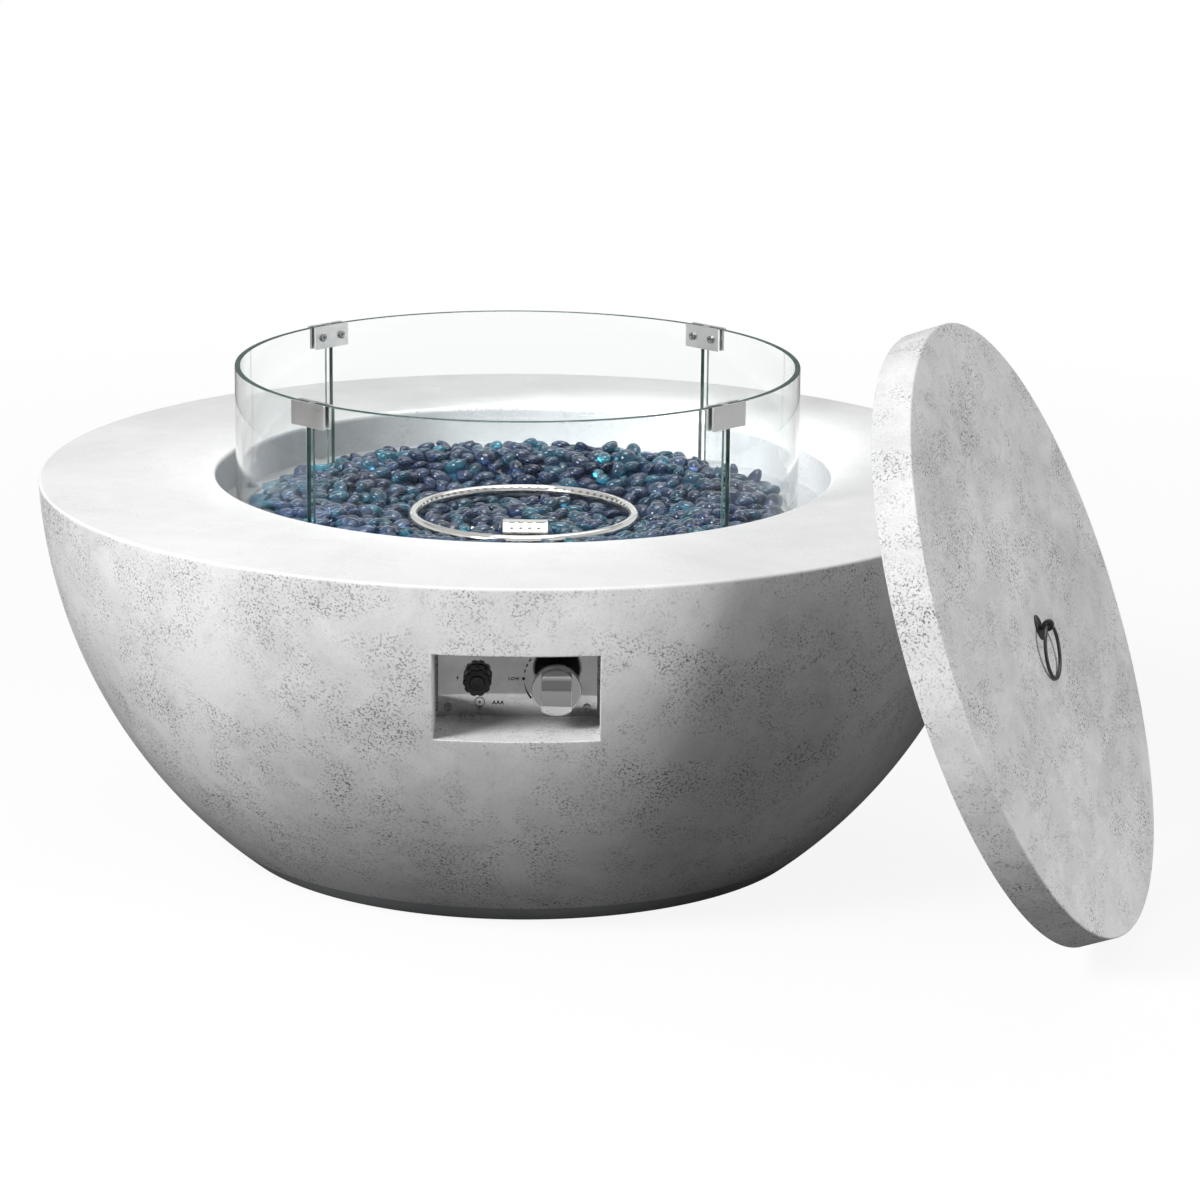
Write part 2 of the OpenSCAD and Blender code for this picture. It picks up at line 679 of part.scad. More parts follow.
// ---- igniter shield and probes ----
module shield_outline(inset) {
    polygon([[shield_front_y + inset, pan_floor_z],
             [shield_front_y + inset, shield_top_z - shield_fall - inset],
             [shield_ridge_y, shield_top_z - inset],
             [shield_back_y - inset, shield_top_z - inset],
             [shield_back_y - inset, pan_floor_z]]);
}
module shield_block(inset, w) {
    translate([shield_x - w / 2, 0, 0]) rotate([90, 0, 90]) linear_extrude(w) shield_outline(inset);
}
module igniter_shield() {
    slope = atan2(shield_fall, shield_ridge_y - shield_front_y);
    color([0.88, 0.88, 0.86]) difference() {
        union() {
            shield_block(0, shield_w);
            box_at(shield_x - shield_w / 2 - shield_foot_w, shield_x + shield_w / 2 + shield_foot_w,
                   probe_y - 7, probe_y + 7, pan_floor_z, pan_floor_z + shield_t);
        }
        shield_block(shield_t, shield_w - 2 * shield_t);
        box_at(shield_x - shield_w / 2 + shield_t, shield_x + shield_w / 2 - shield_t,
               shield_front_y + shield_t, shield_back_y - shield_t,
               pan_floor_z - eps, pan_floor_z + shield_t + eps);
        for (sx = [-1, 1])
            translate([shield_x + sx * foot_screw_x, probe_y, pan_floor_z - eps])
                cylinder(r = screw_shank_r + fit_gap, h = shield_t + 2 * eps);
        for (k = [-1.5:1:1.5])
            translate([shield_x + k * shield_w / 5, (shield_front_y + shield_ridge_y) / 2 - 2,
                       shield_top_z - shield_fall / 2 - 1]) rotate([slope, 0, 0])
                translate([0, 0, -3]) cylinder(d = shield_hole_d, h = 8);
    }
}
module shield_screws() {
    color([0.6, 0.6, 0.6]) for (sx = [-1, 1])
        translate([shield_x + sx * foot_screw_x, probe_y, pan_floor_z + shield_t]) {
            cylinder(r = screw_head_r - 0.5, h = 2);
            translate([0, 0, -shield_t - pan_t - 4])
                cylinder(r = screw_shank_r, h = shield_t + pan_t + 4);
        }
}
module electrode_sleeve() {
    color([0.93, 0.91, 0.86]) difference() {
        translate([sleeve_x, probe_y, 0]) {
            translate([0, 0, probe_bottom_z])
                cylinder(r = sleeve_r, h = sleeve_top_z - probe_bottom_z);
            translate([0, 0, pan_floor_z]) cylinder(r = sleeve_r + 2, h = collar_t);
        }
        translate([sleeve_x, probe_y, probe_bottom_z + 6])
            cylinder(r = 1 + fit_gap, h = sleeve_top_z - probe_bottom_z);
    }
}
module spark_electrode() {
    color([0.55, 0.55, 0.55]) translate([sleeve_x, probe_y, probe_bottom_z + 6])
        cylinder(r = 1, h = electrode_top_z - probe_bottom_z - 6);
}
module thermocouple() {
    color([0.7, 0.6, 0.45]) translate([probe_x, probe_y, 0]) {
        translate([0, 0, probe_bottom_z]) cylinder(r = probe_r, h = sleeve_top_z - probe_bottom_z);
        translate([0, 0, pan_floor_z]) cylinder(r = probe_r + 2, h = collar_t);
        translate([0, 0, sleeve_top_z]) cylinder(r1 = probe_r, r2 = probe_r - 1.2, h = 7);
    }
}

// ---- fire glass ----
module fire_glass_bed() {
    color([0.16, 0.30, 0.42]) difference() {
        rotate_extrude() polygon(concat(
            [[0, pan_floor_z + near_gap]], BED,
            [[bed_edge_r, ledge_z + near_gap], [pan_in_r - near_gap, ledge_z + near_gap],
             [pan_in_r - near_gap, pan_floor_z + near_gap]]));
        for (sx = [-1, 1])
            translate([sx * ring_r, 0, crossbar_z - tube_r - loose_gap])
                cylinder(r = tube_r + loose_gap, h = crossbar_drop + 2 * tube_r);
        box_at(-crossbar_end - loose_gap, crossbar_end + loose_gap,
               -tube_r - loose_gap, tube_r + loose_gap,
               crossbar_z - tube_r - loose_gap, crossbar_z + tube_r + loose_gap);
        translate([0, 0, pan_floor_z])
            cylinder(d = hub_d + 4, h = hub_top_z + loose_gap - pan_floor_z);
        box_at(shield_x - shield_w / 2 - loose_gap, shield_x + shield_w / 2 + loose_gap,
               shield_front_y - loose_gap, shield_back_y + loose_gap,
               pan_floor_z, bowl_h);
        box_at(shield_x - shield_w / 2 - shield_foot_w - loose_gap,
               shield_x + shield_w / 2 + shield_foot_w + loose_gap,
               probe_y - 8, probe_y + 8, pan_floor_z, pan_floor_z + 5);
    }
}

// ---- control plate ----
module control_plate() {
    color([0.70, 0.70, 0.70]) difference() {
        box_at(-plate_w / 2, plate_w / 2, -plate_y, -lip_y,
               niche_z + plate_edge_gap, niche_z + plate_edge_gap + plate_h);
        for (sx = [-1, 1], z = screw_zs)
            along_front(sx * screw_x, z, lip_y - eps, plate_y + eps, screw_shank_r + fit_gap);
        along_front(knob_x, axis_z, lip_y - eps, plate_y + eps, neck_r + fit_gap);
        along_front(-igniter_x, axis_z, lip_y - eps, plate_y + eps, barrel_r + fit_gap);
    }
}
module plate_screws() {
    color([0.65, 0.65, 0.65]) for (sx = [-1, 1], z = screw_zs)
        difference() {
            union() {
                along_front(sx * screw_x, z, lip_y - screw_grip, plate_y, screw_shank_r);
                along_front(sx * screw_x, z, plate_y, plate_y + screw_head_h, screw_head_r);
            }
            hex_front(sx * screw_x, z, plate_y + screw_head_h - 1.6, plate_y + screw_head_h + eps, 3);
        }
}

// ---- gas valve and knob ----
module valve_body() {
    color([0.78, 0.66, 0.38]) difference() {
        union() {
            box_at(knob_x - valve_w / 2, knob_x + valve_w / 2, -valve_front_y, -valve_back_y,
                   axis_z - valve_w / 2, axis_z + valve_w / 2);
            along_front(knob_x, axis_z, valve_front_y, neck_front_y, neck_r);
            along_front(knob_x, axis_z, valve_front_y, lip_y, neck_r + 3);
            translate([knob_x, -valve_back_y - eps, axis_z]) rotate([-90, 0, 0])
                cylinder(r = valve_port_r, h = valve_port_len + eps);
            translate([knob_x, -valve_back_y - valve_len / 2, axis_z - valve_w / 2 - valve_port_len])
                cylinder(r = valve_port_r, h = valve_port_len + eps);
        }
        along_front(knob_x, axis_z, plug_front_y - plug_len, plug_front_y, plug_d / 2 + fit_gap);
        along_front(knob_x, axis_z, plug_front_y - eps, neck_front_y + eps, stem_r + 0.3);
    }
}
module valve_nut() {
    color([0.7, 0.7, 0.68]) difference() {
        hex_front(knob_x, axis_z, plate_y, plate_y + valve_nut_t, valve_nut_af);
        along_front(knob_x, axis_z, plate_y - eps, plate_y + valve_nut_t + eps, neck_r + fit_gap);
    }
}
// stem section: a round rod with one flat on top
module stem_rod(y0, y1, gap) {
    intersection() {
        along_front(knob_x, axis_z, y0, y1, stem_r + gap);
        box_at(knob_x - stem_d, knob_x + stem_d, -y1, -y0,
               axis_z - stem_d, axis_z + stem_r - stem_flat + gap);
    }
}
module valve_plug() {
    color([0.80, 0.70, 0.45]) difference() {
        along_front(knob_x, axis_z, plug_front_y - plug_len, plug_front_y - fit_gap, plug_d / 2);
        stem_rod(plug_front_y - plug_len + plug_wall, plug_front_y + eps, fit_gap);
    }
}
module valve_stem() {
    color([0.75, 0.75, 0.75]) stem_rod(stem_back_y, stem_front_y, 0);
}
module knob_core() {
    color([0.06, 0.06, 0.06]) difference() {
        union() {
            along_front(knob_x, axis_z, skirt_back_y, skirt_back_y + core_t, knob_r - knob_wall - fit_gap);
            along_front(knob_x, axis_z, core_back_y, skirt_front_y - knob_wall, core_hub_r);
        }
        stem_rod(core_back_y - eps, skirt_front_y, fit_gap);
    }
}
module gas_knob() {
    color([0.85, 0.85, 0.87]) difference() {
        union() {
            along_front(knob_x, axis_z, skirt_back_y, skirt_front_y - 2, knob_r);
            translate([knob_x, -skirt_front_y + 2, axis_z]) rotate([90, 0, 0])
                cylinder(r1 = knob_r, r2 = knob_r - 2, h = 2);
            intersection() {
                along_front(knob_x, axis_z, skirt_front_y - eps, grip_front_y, knob_r - 1.5);
                box_at(knob_x - grip_w / 2, knob_x + grip_w / 2, -grip_front_y, -skirt_back_y,
                       axis_z - knob_r, axis_z + knob_r);
                translate([knob_x - grip_w, -grip_front_y + grip_bulge_r, axis_z])
                    rotate([0, 90, 0]) cylinder(r = grip_bulge_r, h = 2 * grip_w);
            }
        }
        along_front(knob_x, axis_z, skirt_back_y - eps, skirt_front_y - knob_wall,
                    knob_r - knob_wall);
    }
}

// ---- igniter ----
module igniter_body() {
    color([0.08, 0.08, 0.08]) difference() {
        union() {
            along_front(-igniter_x, axis_z, barrel_back_y, plate_y, barrel_r);
            along_front(-igniter_x, axis_z, plate_y, plate_y + igniter_flange_t,
                        igniter_flange_d / 2);
            along_front(-igniter_x, axis_z, plate_y, spigot_front_y, spigot_r);
        }
        along_front(-igniter_x, axis_z, spigot_front_y - battery_len - battery_wall,
                    spigot_front_y + eps, battery_r + fit_gap);
    }
}
module igniter_nut() {
    color([0.10, 0.10, 0.10]) difference() {
        hex_front(-igniter_x, axis_z, lip_y - igniter_nut_t, lip_y, barrel_d + 6);
        along_front(-igniter_x, axis_z, lip_y - igniter_nut_t - eps, lip_y + eps,
                    barrel_r + fit_gap);
    }
}
module battery() {
    color([0.5, 0.5, 0.55]) {
        along_front(-igniter_x, axis_z, spigot_front_y - battery_len - battery_wall,
                    spigot_front_y - battery_wall - 1, battery_r);
        along_front(-igniter_x, axis_z, spigot_front_y - battery_wall - 1,
                    spigot_front_y - battery_wall, 2.5);
    }
}
module igniter_cap() {
    color([0.05, 0.05, 0.05]) difference() {
        union() {
            along_front(-igniter_x, axis_z, cap_back_y, cap_front_y - 1.5, cap_r);
            translate([-igniter_x, -cap_front_y + 1.5, axis_z]) rotate([90, 0, 0])
                cylinder(r1 = cap_r, r2 = cap_r - 1.5, h = 1.5);
        }
        along_front(-igniter_x, axis_z, cap_back_y - eps, spigot_front_y, spigot_r + fit_gap);
        along_front(-igniter_x, axis_z, spigot_front_y - eps, cap_front_y - cap_front_t, cavity_r);
        along_front(-igniter_x, axis_z, cap_front_y - cap_front_t - eps, cap_front_y + eps,
                    button_r + fit_gap);
        for (i = [0:cap_grooves - 1])
            translate([-igniter_x, 0, axis_z]) rotate([0, (i + 0.5) * 360 / cap_grooves, 0])
                translate([groove_pos_r, -cap_back_y - 3, 0]) rotate([90, 0, 0])
                    cylinder(r = groove_r, h = cap_h);
    }
}
module igniter_button() {
    color([0.07, 0.07, 0.07]) {
        along_front(-igniter_x, axis_z, button_back_y, cap_front_y - cap_front_t - fit_gap,
                    button_flange_r);
        along_front(-igniter_x, axis_z, button_back_y, cap_front_y + button_proud, button_r);
    }
}

// ---- hoses and leads ----
burner_hose_start = [knob_x, -valve_back_y + valve_port_len - nut_cover + hose_nut_len, axis_z];
burner_hose_end = [0, -mixer_r - mixer_port_len + nut_cover - hose_nut_len, mixer_port_z];
valve_in_end = [knob_x, -valve_back_y - valve_len / 2,
                axis_z - valve_w / 2 - valve_port_len + nut_cover - hose_nut_len];
inlet_hose_start = [0, tail_end_y + nut_cover - hose_nut_len, inlet_z];
hose_floor_z = floor_t + hose_r + near_gap;
module burner_hose() {
    color([0.65, 0.65, 0.66])
        tube(curve_points([burner_hose_start, burner_hose_start + [0, burner_hose_guide, 0],
                           burner_hose_end - [0, burner_hose_guide, 0], burner_hose_end],
                          hose_rings),
             hose_r, 12, [0, 1, 0], [0, 1, 0]);
}
module inlet_hose() {
    lay_back = [0, inlet_hose_start[1] - inlet_hose_fall, hose_floor_z];
    lay_front = [knob_x, valve_in_end[1] + inlet_hose_rise, hose_floor_z];
    color([0.12, 0.12, 0.12])
        tube(concat(
            curve_points([inlet_hose_start, inlet_hose_start - [0, inlet_drop_guide, 0],
                          lay_back + [0, inlet_drop_guide, 0], lay_back], hose_rings / 2),
            curve_points([lay_back, lay_back - [0, floor_guide, 0],
                          lay_front + [0, floor_guide, 0], lay_front], hose_rings, 1),
            curve_points([lay_front, lay_front - [0, inlet_hose_rise, 0],
                          valve_in_end - [0, 0, valve_rise_guide], valve_in_end],
                         hose_rings, 1)),
            hose_r, 12, [0, -1, 0], [0, 0, 1]);
}
module ignition_wire() {
    start = [-igniter_x, -barrel_back_y, axis_z];
    end = [sleeve_x, probe_y, probe_bottom_z];
    color([0.75, 0.2, 0.15])
        tube(curve_points([start, start + [0, wire_guide, 0],
                           end - [0, 0, wire_rise_guide], end], lead_rings),
             wire_d / 2, 8, [0, 1, 0], [0, 0, 1]);
}
module thermocouple_lead() {
    start = [knob_x + valve_w / 2 - 4, -valve_back_y, axis_z + valve_w / 2 - 4];
    end = [probe_x, probe_y, probe_bottom_z];
    color([0.72, 0.5, 0.3])
        tube(curve_points([start, start + [0, lead_guide, 0],
                           end - [0, 0, lead_rise_guide], end], lead_rings),
             lead_d / 2, 8, [0, 1, 0], [0, 0, 1]);
}
// a nut that covers the end of a threaded port and meets the hose's end face
module hose_nut(pos, turn) {
    translate(pos) rotate(turn) difference() {
        cylinder(r = hose_nut_af / sqrt(3), h = hose_nut_len, $fn = 6);
        translate([0, 0, hose_nut_len - nut_cover])
            cylinder(r = valve_port_r + fit_gap, h = nut_cover + eps);
    }
}
module hose_nuts() {
    color([0.78, 0.66, 0.38]) {
        hose_nut(burner_hose_start, [90, 0, 0]);
        hose_nut(burner_hose_end, [-90, 0, 0]);
        hose_nut(valve_in_end, [0, 0, 0]);
        hose_nut(inlet_hose_start, [-90, 0, 0]);
    }
}

// ---- gas inlet at the back ----
module gas_inlet() {
    color([0.78, 0.66, 0.38]) difference() {
        translate([0, tail_end_y, inlet_z]) rotate([-90, 0, 0]) {
            cylinder(r = tail_r, h = tail_len + eps);
            translate([0, 0, tail_len]) cylinder(r = inlet_shank_r, h = inlet_y - tail_end_y - tail_len);
            translate([0, 0, inlet_y - tail_end_y])
                cylinder(r = inlet_flange_af / sqrt(3), h = inlet_flange_t, $fn = 6);
            translate([0, 0, inlet_y - tail_end_y + inlet_flange_t]) {
                cylinder(r = flare_r, h = flare_len);
                translate([0, 0, flare_len]) cylinder(r1 = flare_r - 1.5, r2 = flare_r - 4, h = 3);
            }
        }
        translate([0, inlet_y + inlet_flange_t, inlet_z]) rotate([-90, 0, 0])
            cylinder(r = 3, h = flare_len + 3 + eps);
    }
}
module inlet_locknut() {
    color([0.7, 0.7, 0.68]) translate([0, boss_back_y - locknut_t, inlet_z]) rotate([-90, 0, 0])
        difference() {
            cylinder(r = inlet_flange_af / sqrt(3), h = locknut_t, $fn = 6);
            translate([0, 0, -eps]) cylinder(r = inlet_shank_r + fit_gap, h = locknut_t + 2 * eps);
        }
}

// ---- wind guard ----
module glass_panel(a) {
    color([0.75, 0.88, 0.85, 0.35]) translate([-guard_off, 0, ledge_z])
        rotate(a + guard_turn - 45 + panel_half) rotate_extrude(angle = 90 - 2 * panel_half)
            translate([glass_in_r, 0]) square([glass_t, guard_h]);
}
module clamp(a) {
    color([0.80, 0.80, 0.80]) translate([-guard_off, 0, clamp_z]) rotate(a + guard_turn) difference() {
        union() {
            box_at(clamp_out_d, clamp_out_d + clamp_t, -clamp_w / 2, clamp_w / 2,
                   -clamp_h / 2, clamp_h / 2);
            box_at(clamp_in_d - clamp_t, clamp_in_d, -clamp_w / 2, clamp_w / 2,
                   -clamp_h / 2, clamp_h / 2);
            box_at(clamp_in_d - eps, clamp_out_d + eps, -clamp_web / 2, clamp_web / 2,
                   -clamp_h / 2, clamp_h / 2);
        }
        for (sy = [-1, 1])
            translate([clamp_in_d - clamp_t - eps, sy * clamp_screw_x, 0]) rotate([0, 90, 0])
                cylinder(r = clamp_shank_r + fit_gap, h = clamp_t + 2 * eps);
    }
}
module clamp_screws() {
    color([0.70, 0.70, 0.70]) translate([-guard_off, 0, clamp_z])
        for (c = CLAMPS, sy = [-1, 1]) rotate(c[1] + guard_turn)
            translate([clamp_in_d - clamp_t, sy * clamp_screw_x, 0]) difference() {
                union() {
                    rotate([0, 90, 0]) cylinder(r = clamp_shank_r, h = clamp_t);
                    rotate([0, -90, 0]) cylinder(r = clamp_head_r, h = clamp_head_h);
                }
                translate([-clamp_head_h - eps, 0, 0]) rotate([0, 90, 0])
                    cylinder(r = 2, h = 1.5 + eps, $fn = 6);
            }
}
module clamp_pads() {
    color([0.85, 0.85, 0.82]) translate([-guard_off, 0, clamp_z])
        for (c = CLAMPS, sy = [-1, 1]) rotate(c[1] + guard_turn)
            translate([clamp_in_d, sy * clamp_screw_x, 0]) rotate([0, 90, 0])
                cylinder(r = pad_r, h = pad_t);
}

// ---- lid ----
// the lid's own frame: x level along the face, y up the face, z out of the face, 0 at the back
module on_lid() {
    translate(lid_pos) rotate([0, 0, -lid_turn]) rotate([0, -lid_lean, 0]) rotate([90, 0, 90])
        children();
}
module lid_shell() {
    color([0.82, 0.82, 0.82]) on_lid() difference() {
        union() {
            cylinder(r = lid_r, h = lid_t - lid_chamfer);
            translate([0, 0, lid_t - lid_chamfer])
                cylinder(r1 = lid_r, r2 = lid_r - lid_chamfer, h = lid_chamfer);
        }
        translate([0, 0, -eps]) cylinder(r = lid_r - lid_skin, h = lid_t - lid_skin + eps);
        cylinder(r = bolt_r + fit_gap, h = lid_t + eps);
    }
}
module lid_core() {
    color([0.93, 0.93, 0.90]) on_lid() difference() {
        translate([0, 0, lid_back_t])
            cylinder(r = lid_r - lid_skin - near_gap, h = lid_t - lid_skin - lid_back_t);
        cylinder(r = bolt_r + near_gap, h = lid_t);
        translate([0, 0, -eps]) cylinder(r = nut_pocket_r, h = nut_pocket_depth + eps);
    }
}
module lid_back_panel() {
    color([0.72, 0.72, 0.70]) on_lid() difference() {
        cylinder(r = lid_r - lid_skin - near_gap, h = lid_back_t);
        translate([0, 0, -eps]) cylinder(r = nut_pocket_r, h = lid_back_t + 2 * eps);
    }
}
// a leaf shape made of two arcs that meet at the top and the bottom
module leaf(w, h) {
    arc_r = (h * h + w * w) / (4 * w);
    intersection() {
        translate([arc_r - w / 2, 0]) circle(r = arc_r);
        translate([w / 2 - arc_r, 0]) circle(r = arc_r);
    }
}
module handle_plate() {
    color([0.06, 0.06, 0.06]) on_lid() translate([0, 0, lid_t]) difference() {
        linear_extrude(backplate_t) leaf(backplate_w, backplate_h);
        translate([0, 0, -eps]) cylinder(r = bolt_r + fit_gap, h = backplate_t + 2 * eps);
    }
}
module handle_eye() {
    color([0.06, 0.06, 0.06]) on_lid() difference() {
        union() {
            translate([-eye_w / 2, 0, eye_z]) rotate([0, 90, 0]) cylinder(d = eye_d, h = eye_w);
            translate([0, 0, 1]) cylinder(r = bolt_r, h = eye_z - 1 - eye_bore_r - 1);
        }
        translate([-eye_w, 0, eye_z]) rotate([0, 90, 0]) cylinder(r = eye_bore_r, h = 2 * eye_w);
    }
}
module handle_washer() {
    color([0.6, 0.6, 0.6]) on_lid() translate([0, 0, nut_pocket_depth - washer_t]) difference() {
        cylinder(r = washer_r, h = washer_t);
        translate([0, 0, -eps]) cylinder(r = bolt_r + fit_gap, h = washer_t + 2 * eps);
    }
}
module handle_nut() {
    color([0.6, 0.6, 0.6]) on_lid()
        translate([0, 0, nut_pocket_depth - washer_t - handle_nut_t]) difference() {
            cylinder(r = (eye_bolt_d + 4) / sqrt(3), h = handle_nut_t, $fn = 6);
            translate([0, 0, -eps]) cylinder(r = bolt_r + fit_gap, h = handle_nut_t + 2 * eps);
        }
}
module ring_handle() {
    color([0.05, 0.05, 0.05]) on_lid() translate([0, 0, eye_z]) rotate([ring_hang, 0, 0])
        translate([0, -handle_ring_r, 0]) rotate_extrude() translate([handle_ring_r, 0])
            circle(r = wire_r);
}

bowl_shell();
burner_pan();
ring_burner();
burner_nipple();
nipple_nuts();
air_mixer();
igniter_shield();
shield_screws();
electrode_sleeve();
spark_electrode();
thermocouple();
fire_glass_bed();
control_plate();
plate_screws();
valve_body();
valve_nut();
valve_plug();
valve_stem();
knob_core();
gas_knob();
igniter_body();
igniter_nut();
battery();
igniter_cap();
igniter_button();
ignition_wire();
thermocouple_lead();
burner_hose();
inlet_hose();
hose_nuts();
gas_inlet();
inlet_locknut();
for (p = PANELS) glass_panel(p[1]);
for (c = CLAMPS) clamp(c[1]);
clamp_screws();
clamp_pads();
lid_shell();
lid_core();
lid_back_panel();
handle_plate();
handle_eye();
handle_washer();
handle_nut();
ring_handle();
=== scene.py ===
"""Looks of a round concrete gas fire bowl with a glass wind guard and a lid that leans on its rim.

Every length is in metres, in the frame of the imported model: +Z up, the control niche faces -Y.
"""

import json
import math
import random

import bmesh
import bpy
from bpy.props import FloatProperty, FloatVectorProperty, IntProperty, PointerProperty
from mathutils import Matrix, Vector, noise


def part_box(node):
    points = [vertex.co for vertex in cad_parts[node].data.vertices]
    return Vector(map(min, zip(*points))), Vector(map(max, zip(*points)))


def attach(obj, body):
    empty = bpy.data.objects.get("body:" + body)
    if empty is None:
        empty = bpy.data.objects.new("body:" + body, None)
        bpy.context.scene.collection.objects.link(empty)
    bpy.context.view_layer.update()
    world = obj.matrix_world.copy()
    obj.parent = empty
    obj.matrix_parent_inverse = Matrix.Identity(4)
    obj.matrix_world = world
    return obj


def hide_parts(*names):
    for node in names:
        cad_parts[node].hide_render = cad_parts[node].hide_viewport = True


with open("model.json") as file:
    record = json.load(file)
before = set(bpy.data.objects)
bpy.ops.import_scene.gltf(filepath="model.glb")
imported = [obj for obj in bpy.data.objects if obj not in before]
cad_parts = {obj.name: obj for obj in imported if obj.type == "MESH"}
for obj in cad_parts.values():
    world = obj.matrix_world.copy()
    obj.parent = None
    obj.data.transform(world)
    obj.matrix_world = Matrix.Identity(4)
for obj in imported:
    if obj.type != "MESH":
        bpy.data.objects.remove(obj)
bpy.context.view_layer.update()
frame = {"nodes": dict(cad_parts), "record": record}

bl_info = {
    "name": "Gas fire bowl",
    "version": (1, 0, 0),
    "blender": (4, 5, 0),
    "location": "3D View > Sidebar > Fire bowl",
    "description": "Dresses a concrete gas fire bowl, its glass guard, burner, controls and lid",
    "category": "Add Mesh",
}

HAIR = 1e-6
WHITE = (1.0, 1.0, 1.0, 1.0)
FULL_TURN = 2 * math.pi
UPRIGHT = Matrix.Rotation(math.pi / 2, 4, "X")

BOWL_LOW, BOWL_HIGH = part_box("bowl_shell")
PLATE_LOW, PLATE_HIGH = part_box("control_plate")
KNOB_LOW, KNOB_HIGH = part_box("gas_knob")
CAP_LOW, CAP_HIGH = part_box("igniter_cap")
BUTTON_LOW, BUTTON_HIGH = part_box("igniter_button")
RING_LOW, RING_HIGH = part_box("ring_burner")
PAN_LOW, PAN_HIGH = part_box("burner_pan")
SHIELD_LOW, SHIELD_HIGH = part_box("igniter_shield")
INLET_LOW, INLET_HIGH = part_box("gas_inlet")
LOCKNUT_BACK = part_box("inlet_locknut")[1].y
GUARD_LOW = Vector(map(min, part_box("glass_left")[0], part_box("glass_front")[0]))
GUARD_HIGH = Vector(map(max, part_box("glass_right")[1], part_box("glass_back")[1]))
LID_BACK_LOW, LID_BACK_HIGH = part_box("lid_back_panel")


# ---- sizes and colours that a user may change ----
def length(label, default):
    return FloatProperty(name=label, default=default, unit="LENGTH", precision=4)


def amount(label, default, **limits):
    return FloatProperty(name=label, default=default, **limits)


def degrees(label, default):
    return amount(label, math.radians(default), subtype="ANGLE")


def fraction(label, default):
    return amount(label, default, min=0.0, max=1.0)


def number(label, default, least=1):
    return IntProperty(name=label, default=default, min=least)


def vector(label, default):
    return FloatVectorProperty(name=label, default=default, size=len(default), unit="LENGTH")


def colour(label, default):
    return FloatVectorProperty(name=label, default=default, subtype="COLOR", size=3, min=0.0, max=1.0)


class BowlSizes(bpy.types.PropertyGroup):
    """Sizes of the concrete bowl."""

    rim_radius: length("Radius at the rim", BOWL_HIGH.y)
    height: length("Height of the deck", BOWL_HIGH.z)
    base_radius: length("Radius of the flat base", 0.319)
    side_arc: length("Radius of the arc that the side follows", 0.561)
    wall: length("Thickness of the side", 0.016)
    deck: length("Thickness of the deck", 0.020)
    floor: length("Thickness of the bowl's floor", 0.018)
    opening: length("Radius of the fire opening", 0.3405)
    ledge: length("Height of the ledge", PAN_HIGH.z + 0.001)
    ledge_deep: length("Thickness of the ledge", 0.016)
    pan_hole: length("Radius of the pan's hole", 0.292)
    rebate: length("Width of the pan's rebate", 0.008)
    rebate_deep: length("Depth of the pan's rebate", 0.0025)
    edge_round: length("Rounding of the deck's edges", 0.003)
    niche_width: length("Width of the control niche", 0.168)
    niche_low: length("Height of the niche's floor", PLATE_LOW.z - 0.0015)
    niche_high: length("Height of the niche's ceiling", PLATE_HIGH.z + 0.0015)
    niche_wall: length("Thickness of the niche's walls", 0.014)
    niche_round: length("Rounding of the niche's edge", 0.0012)
    lip: length("Thickness of the lip behind the plate", 0.012)
    window: vector("Width and height of the lip's window", (0.124, 0.062))
    vent_radius: length("Radius of the vents", 0.015)
    vent_place: length("Distance of the vents from the middle", 0.200)
    pocket_radius: length("Radius of the inlet's pocket", 0.026)
    pocket_deep: length("From the inlet's end to the pocket's floor", 0.023)
    boss_radius: length("Radius of the boss behind the pocket", 0.040)
    shank_radius: length("Radius of the inlet's hole", 0.00905)
    turns: number("Steps around the bowl", 240, 24)


class ConcreteLook(bpy.types.PropertyGroup):
    """Colours and speckle of the concrete."""

    pale: colour("Palest areas", (0.80, 0.80, 0.80))
    cloud: colour("Darker clouds", (0.60, 0.60, 0.605))
    # painted shade: this colour multiplies the concrete on the wall inside the fire opening
    recess: colour("Tint of the wall inside the fire opening", (0.56, 0.575, 0.59))
    speck: colour("Fine dark specks", (0.085, 0.085, 0.09))
    speck_share: fraction("Strength of the specks", 0.85)
    roughness: fraction("Roughness", 0.82)


class GuardSizes(bpy.types.PropertyGroup):
    """Sizes and look of the glass wind guard."""

    glass: length("Thickness of the glass", 0.006)
    gap: length("Gap between two panels", 0.009)
    edge_round: length("Rounding of the glass edges", 0.0009)
    turn: degrees("Turn of the guard about its middle", 1.1)
    tint: colour("Tint of the glass seen through", (0.972, 0.986, 0.982))
    gloss: fraction("Strength of what the glass mirrors face on", 0.22)
    edge: colour("Colour of the glass edges", (0.008, 0.075, 0.055))
    steps: number("Steps along a panel", 72, 8)


class BurnerSizes(bpy.types.PropertyGroup):
    """Sizes of the ring burner and of its igniter shield."""

    ring_radius: length("Radius of the ring's middle", 0.1225)
    tube_radius: length("Radius of the burner tube", 0.00635)
    riser_radius: length("Radius of the risers", 0.0055)
    hub_radius: length("Radius of the hub", 0.017)
    crossbar_drop: length("Fall from the ring to the crossbar", 0.0195)
    ports: number("Gas ports around the ring", 72, 12)
    port_rim: length("Width of the rim around a gas port", 0.0004)
    port_deep: length("Depth of a gas port", 0.003)
    port_lean: degrees("Lean of the ports off the vertical", 55)
    shield_flange: length("Length of both side flanges of the shield", 0.024)
    shield_slope: length("Depth of the shield's sloping face", 0.019)
    shield_fall: length("Fall of the shield's sloping face", 0.0065)
    flute_half: length("Half the width of a flute", 0.0030)
    flute_deep: length("Depth of a flute", 0.0016)


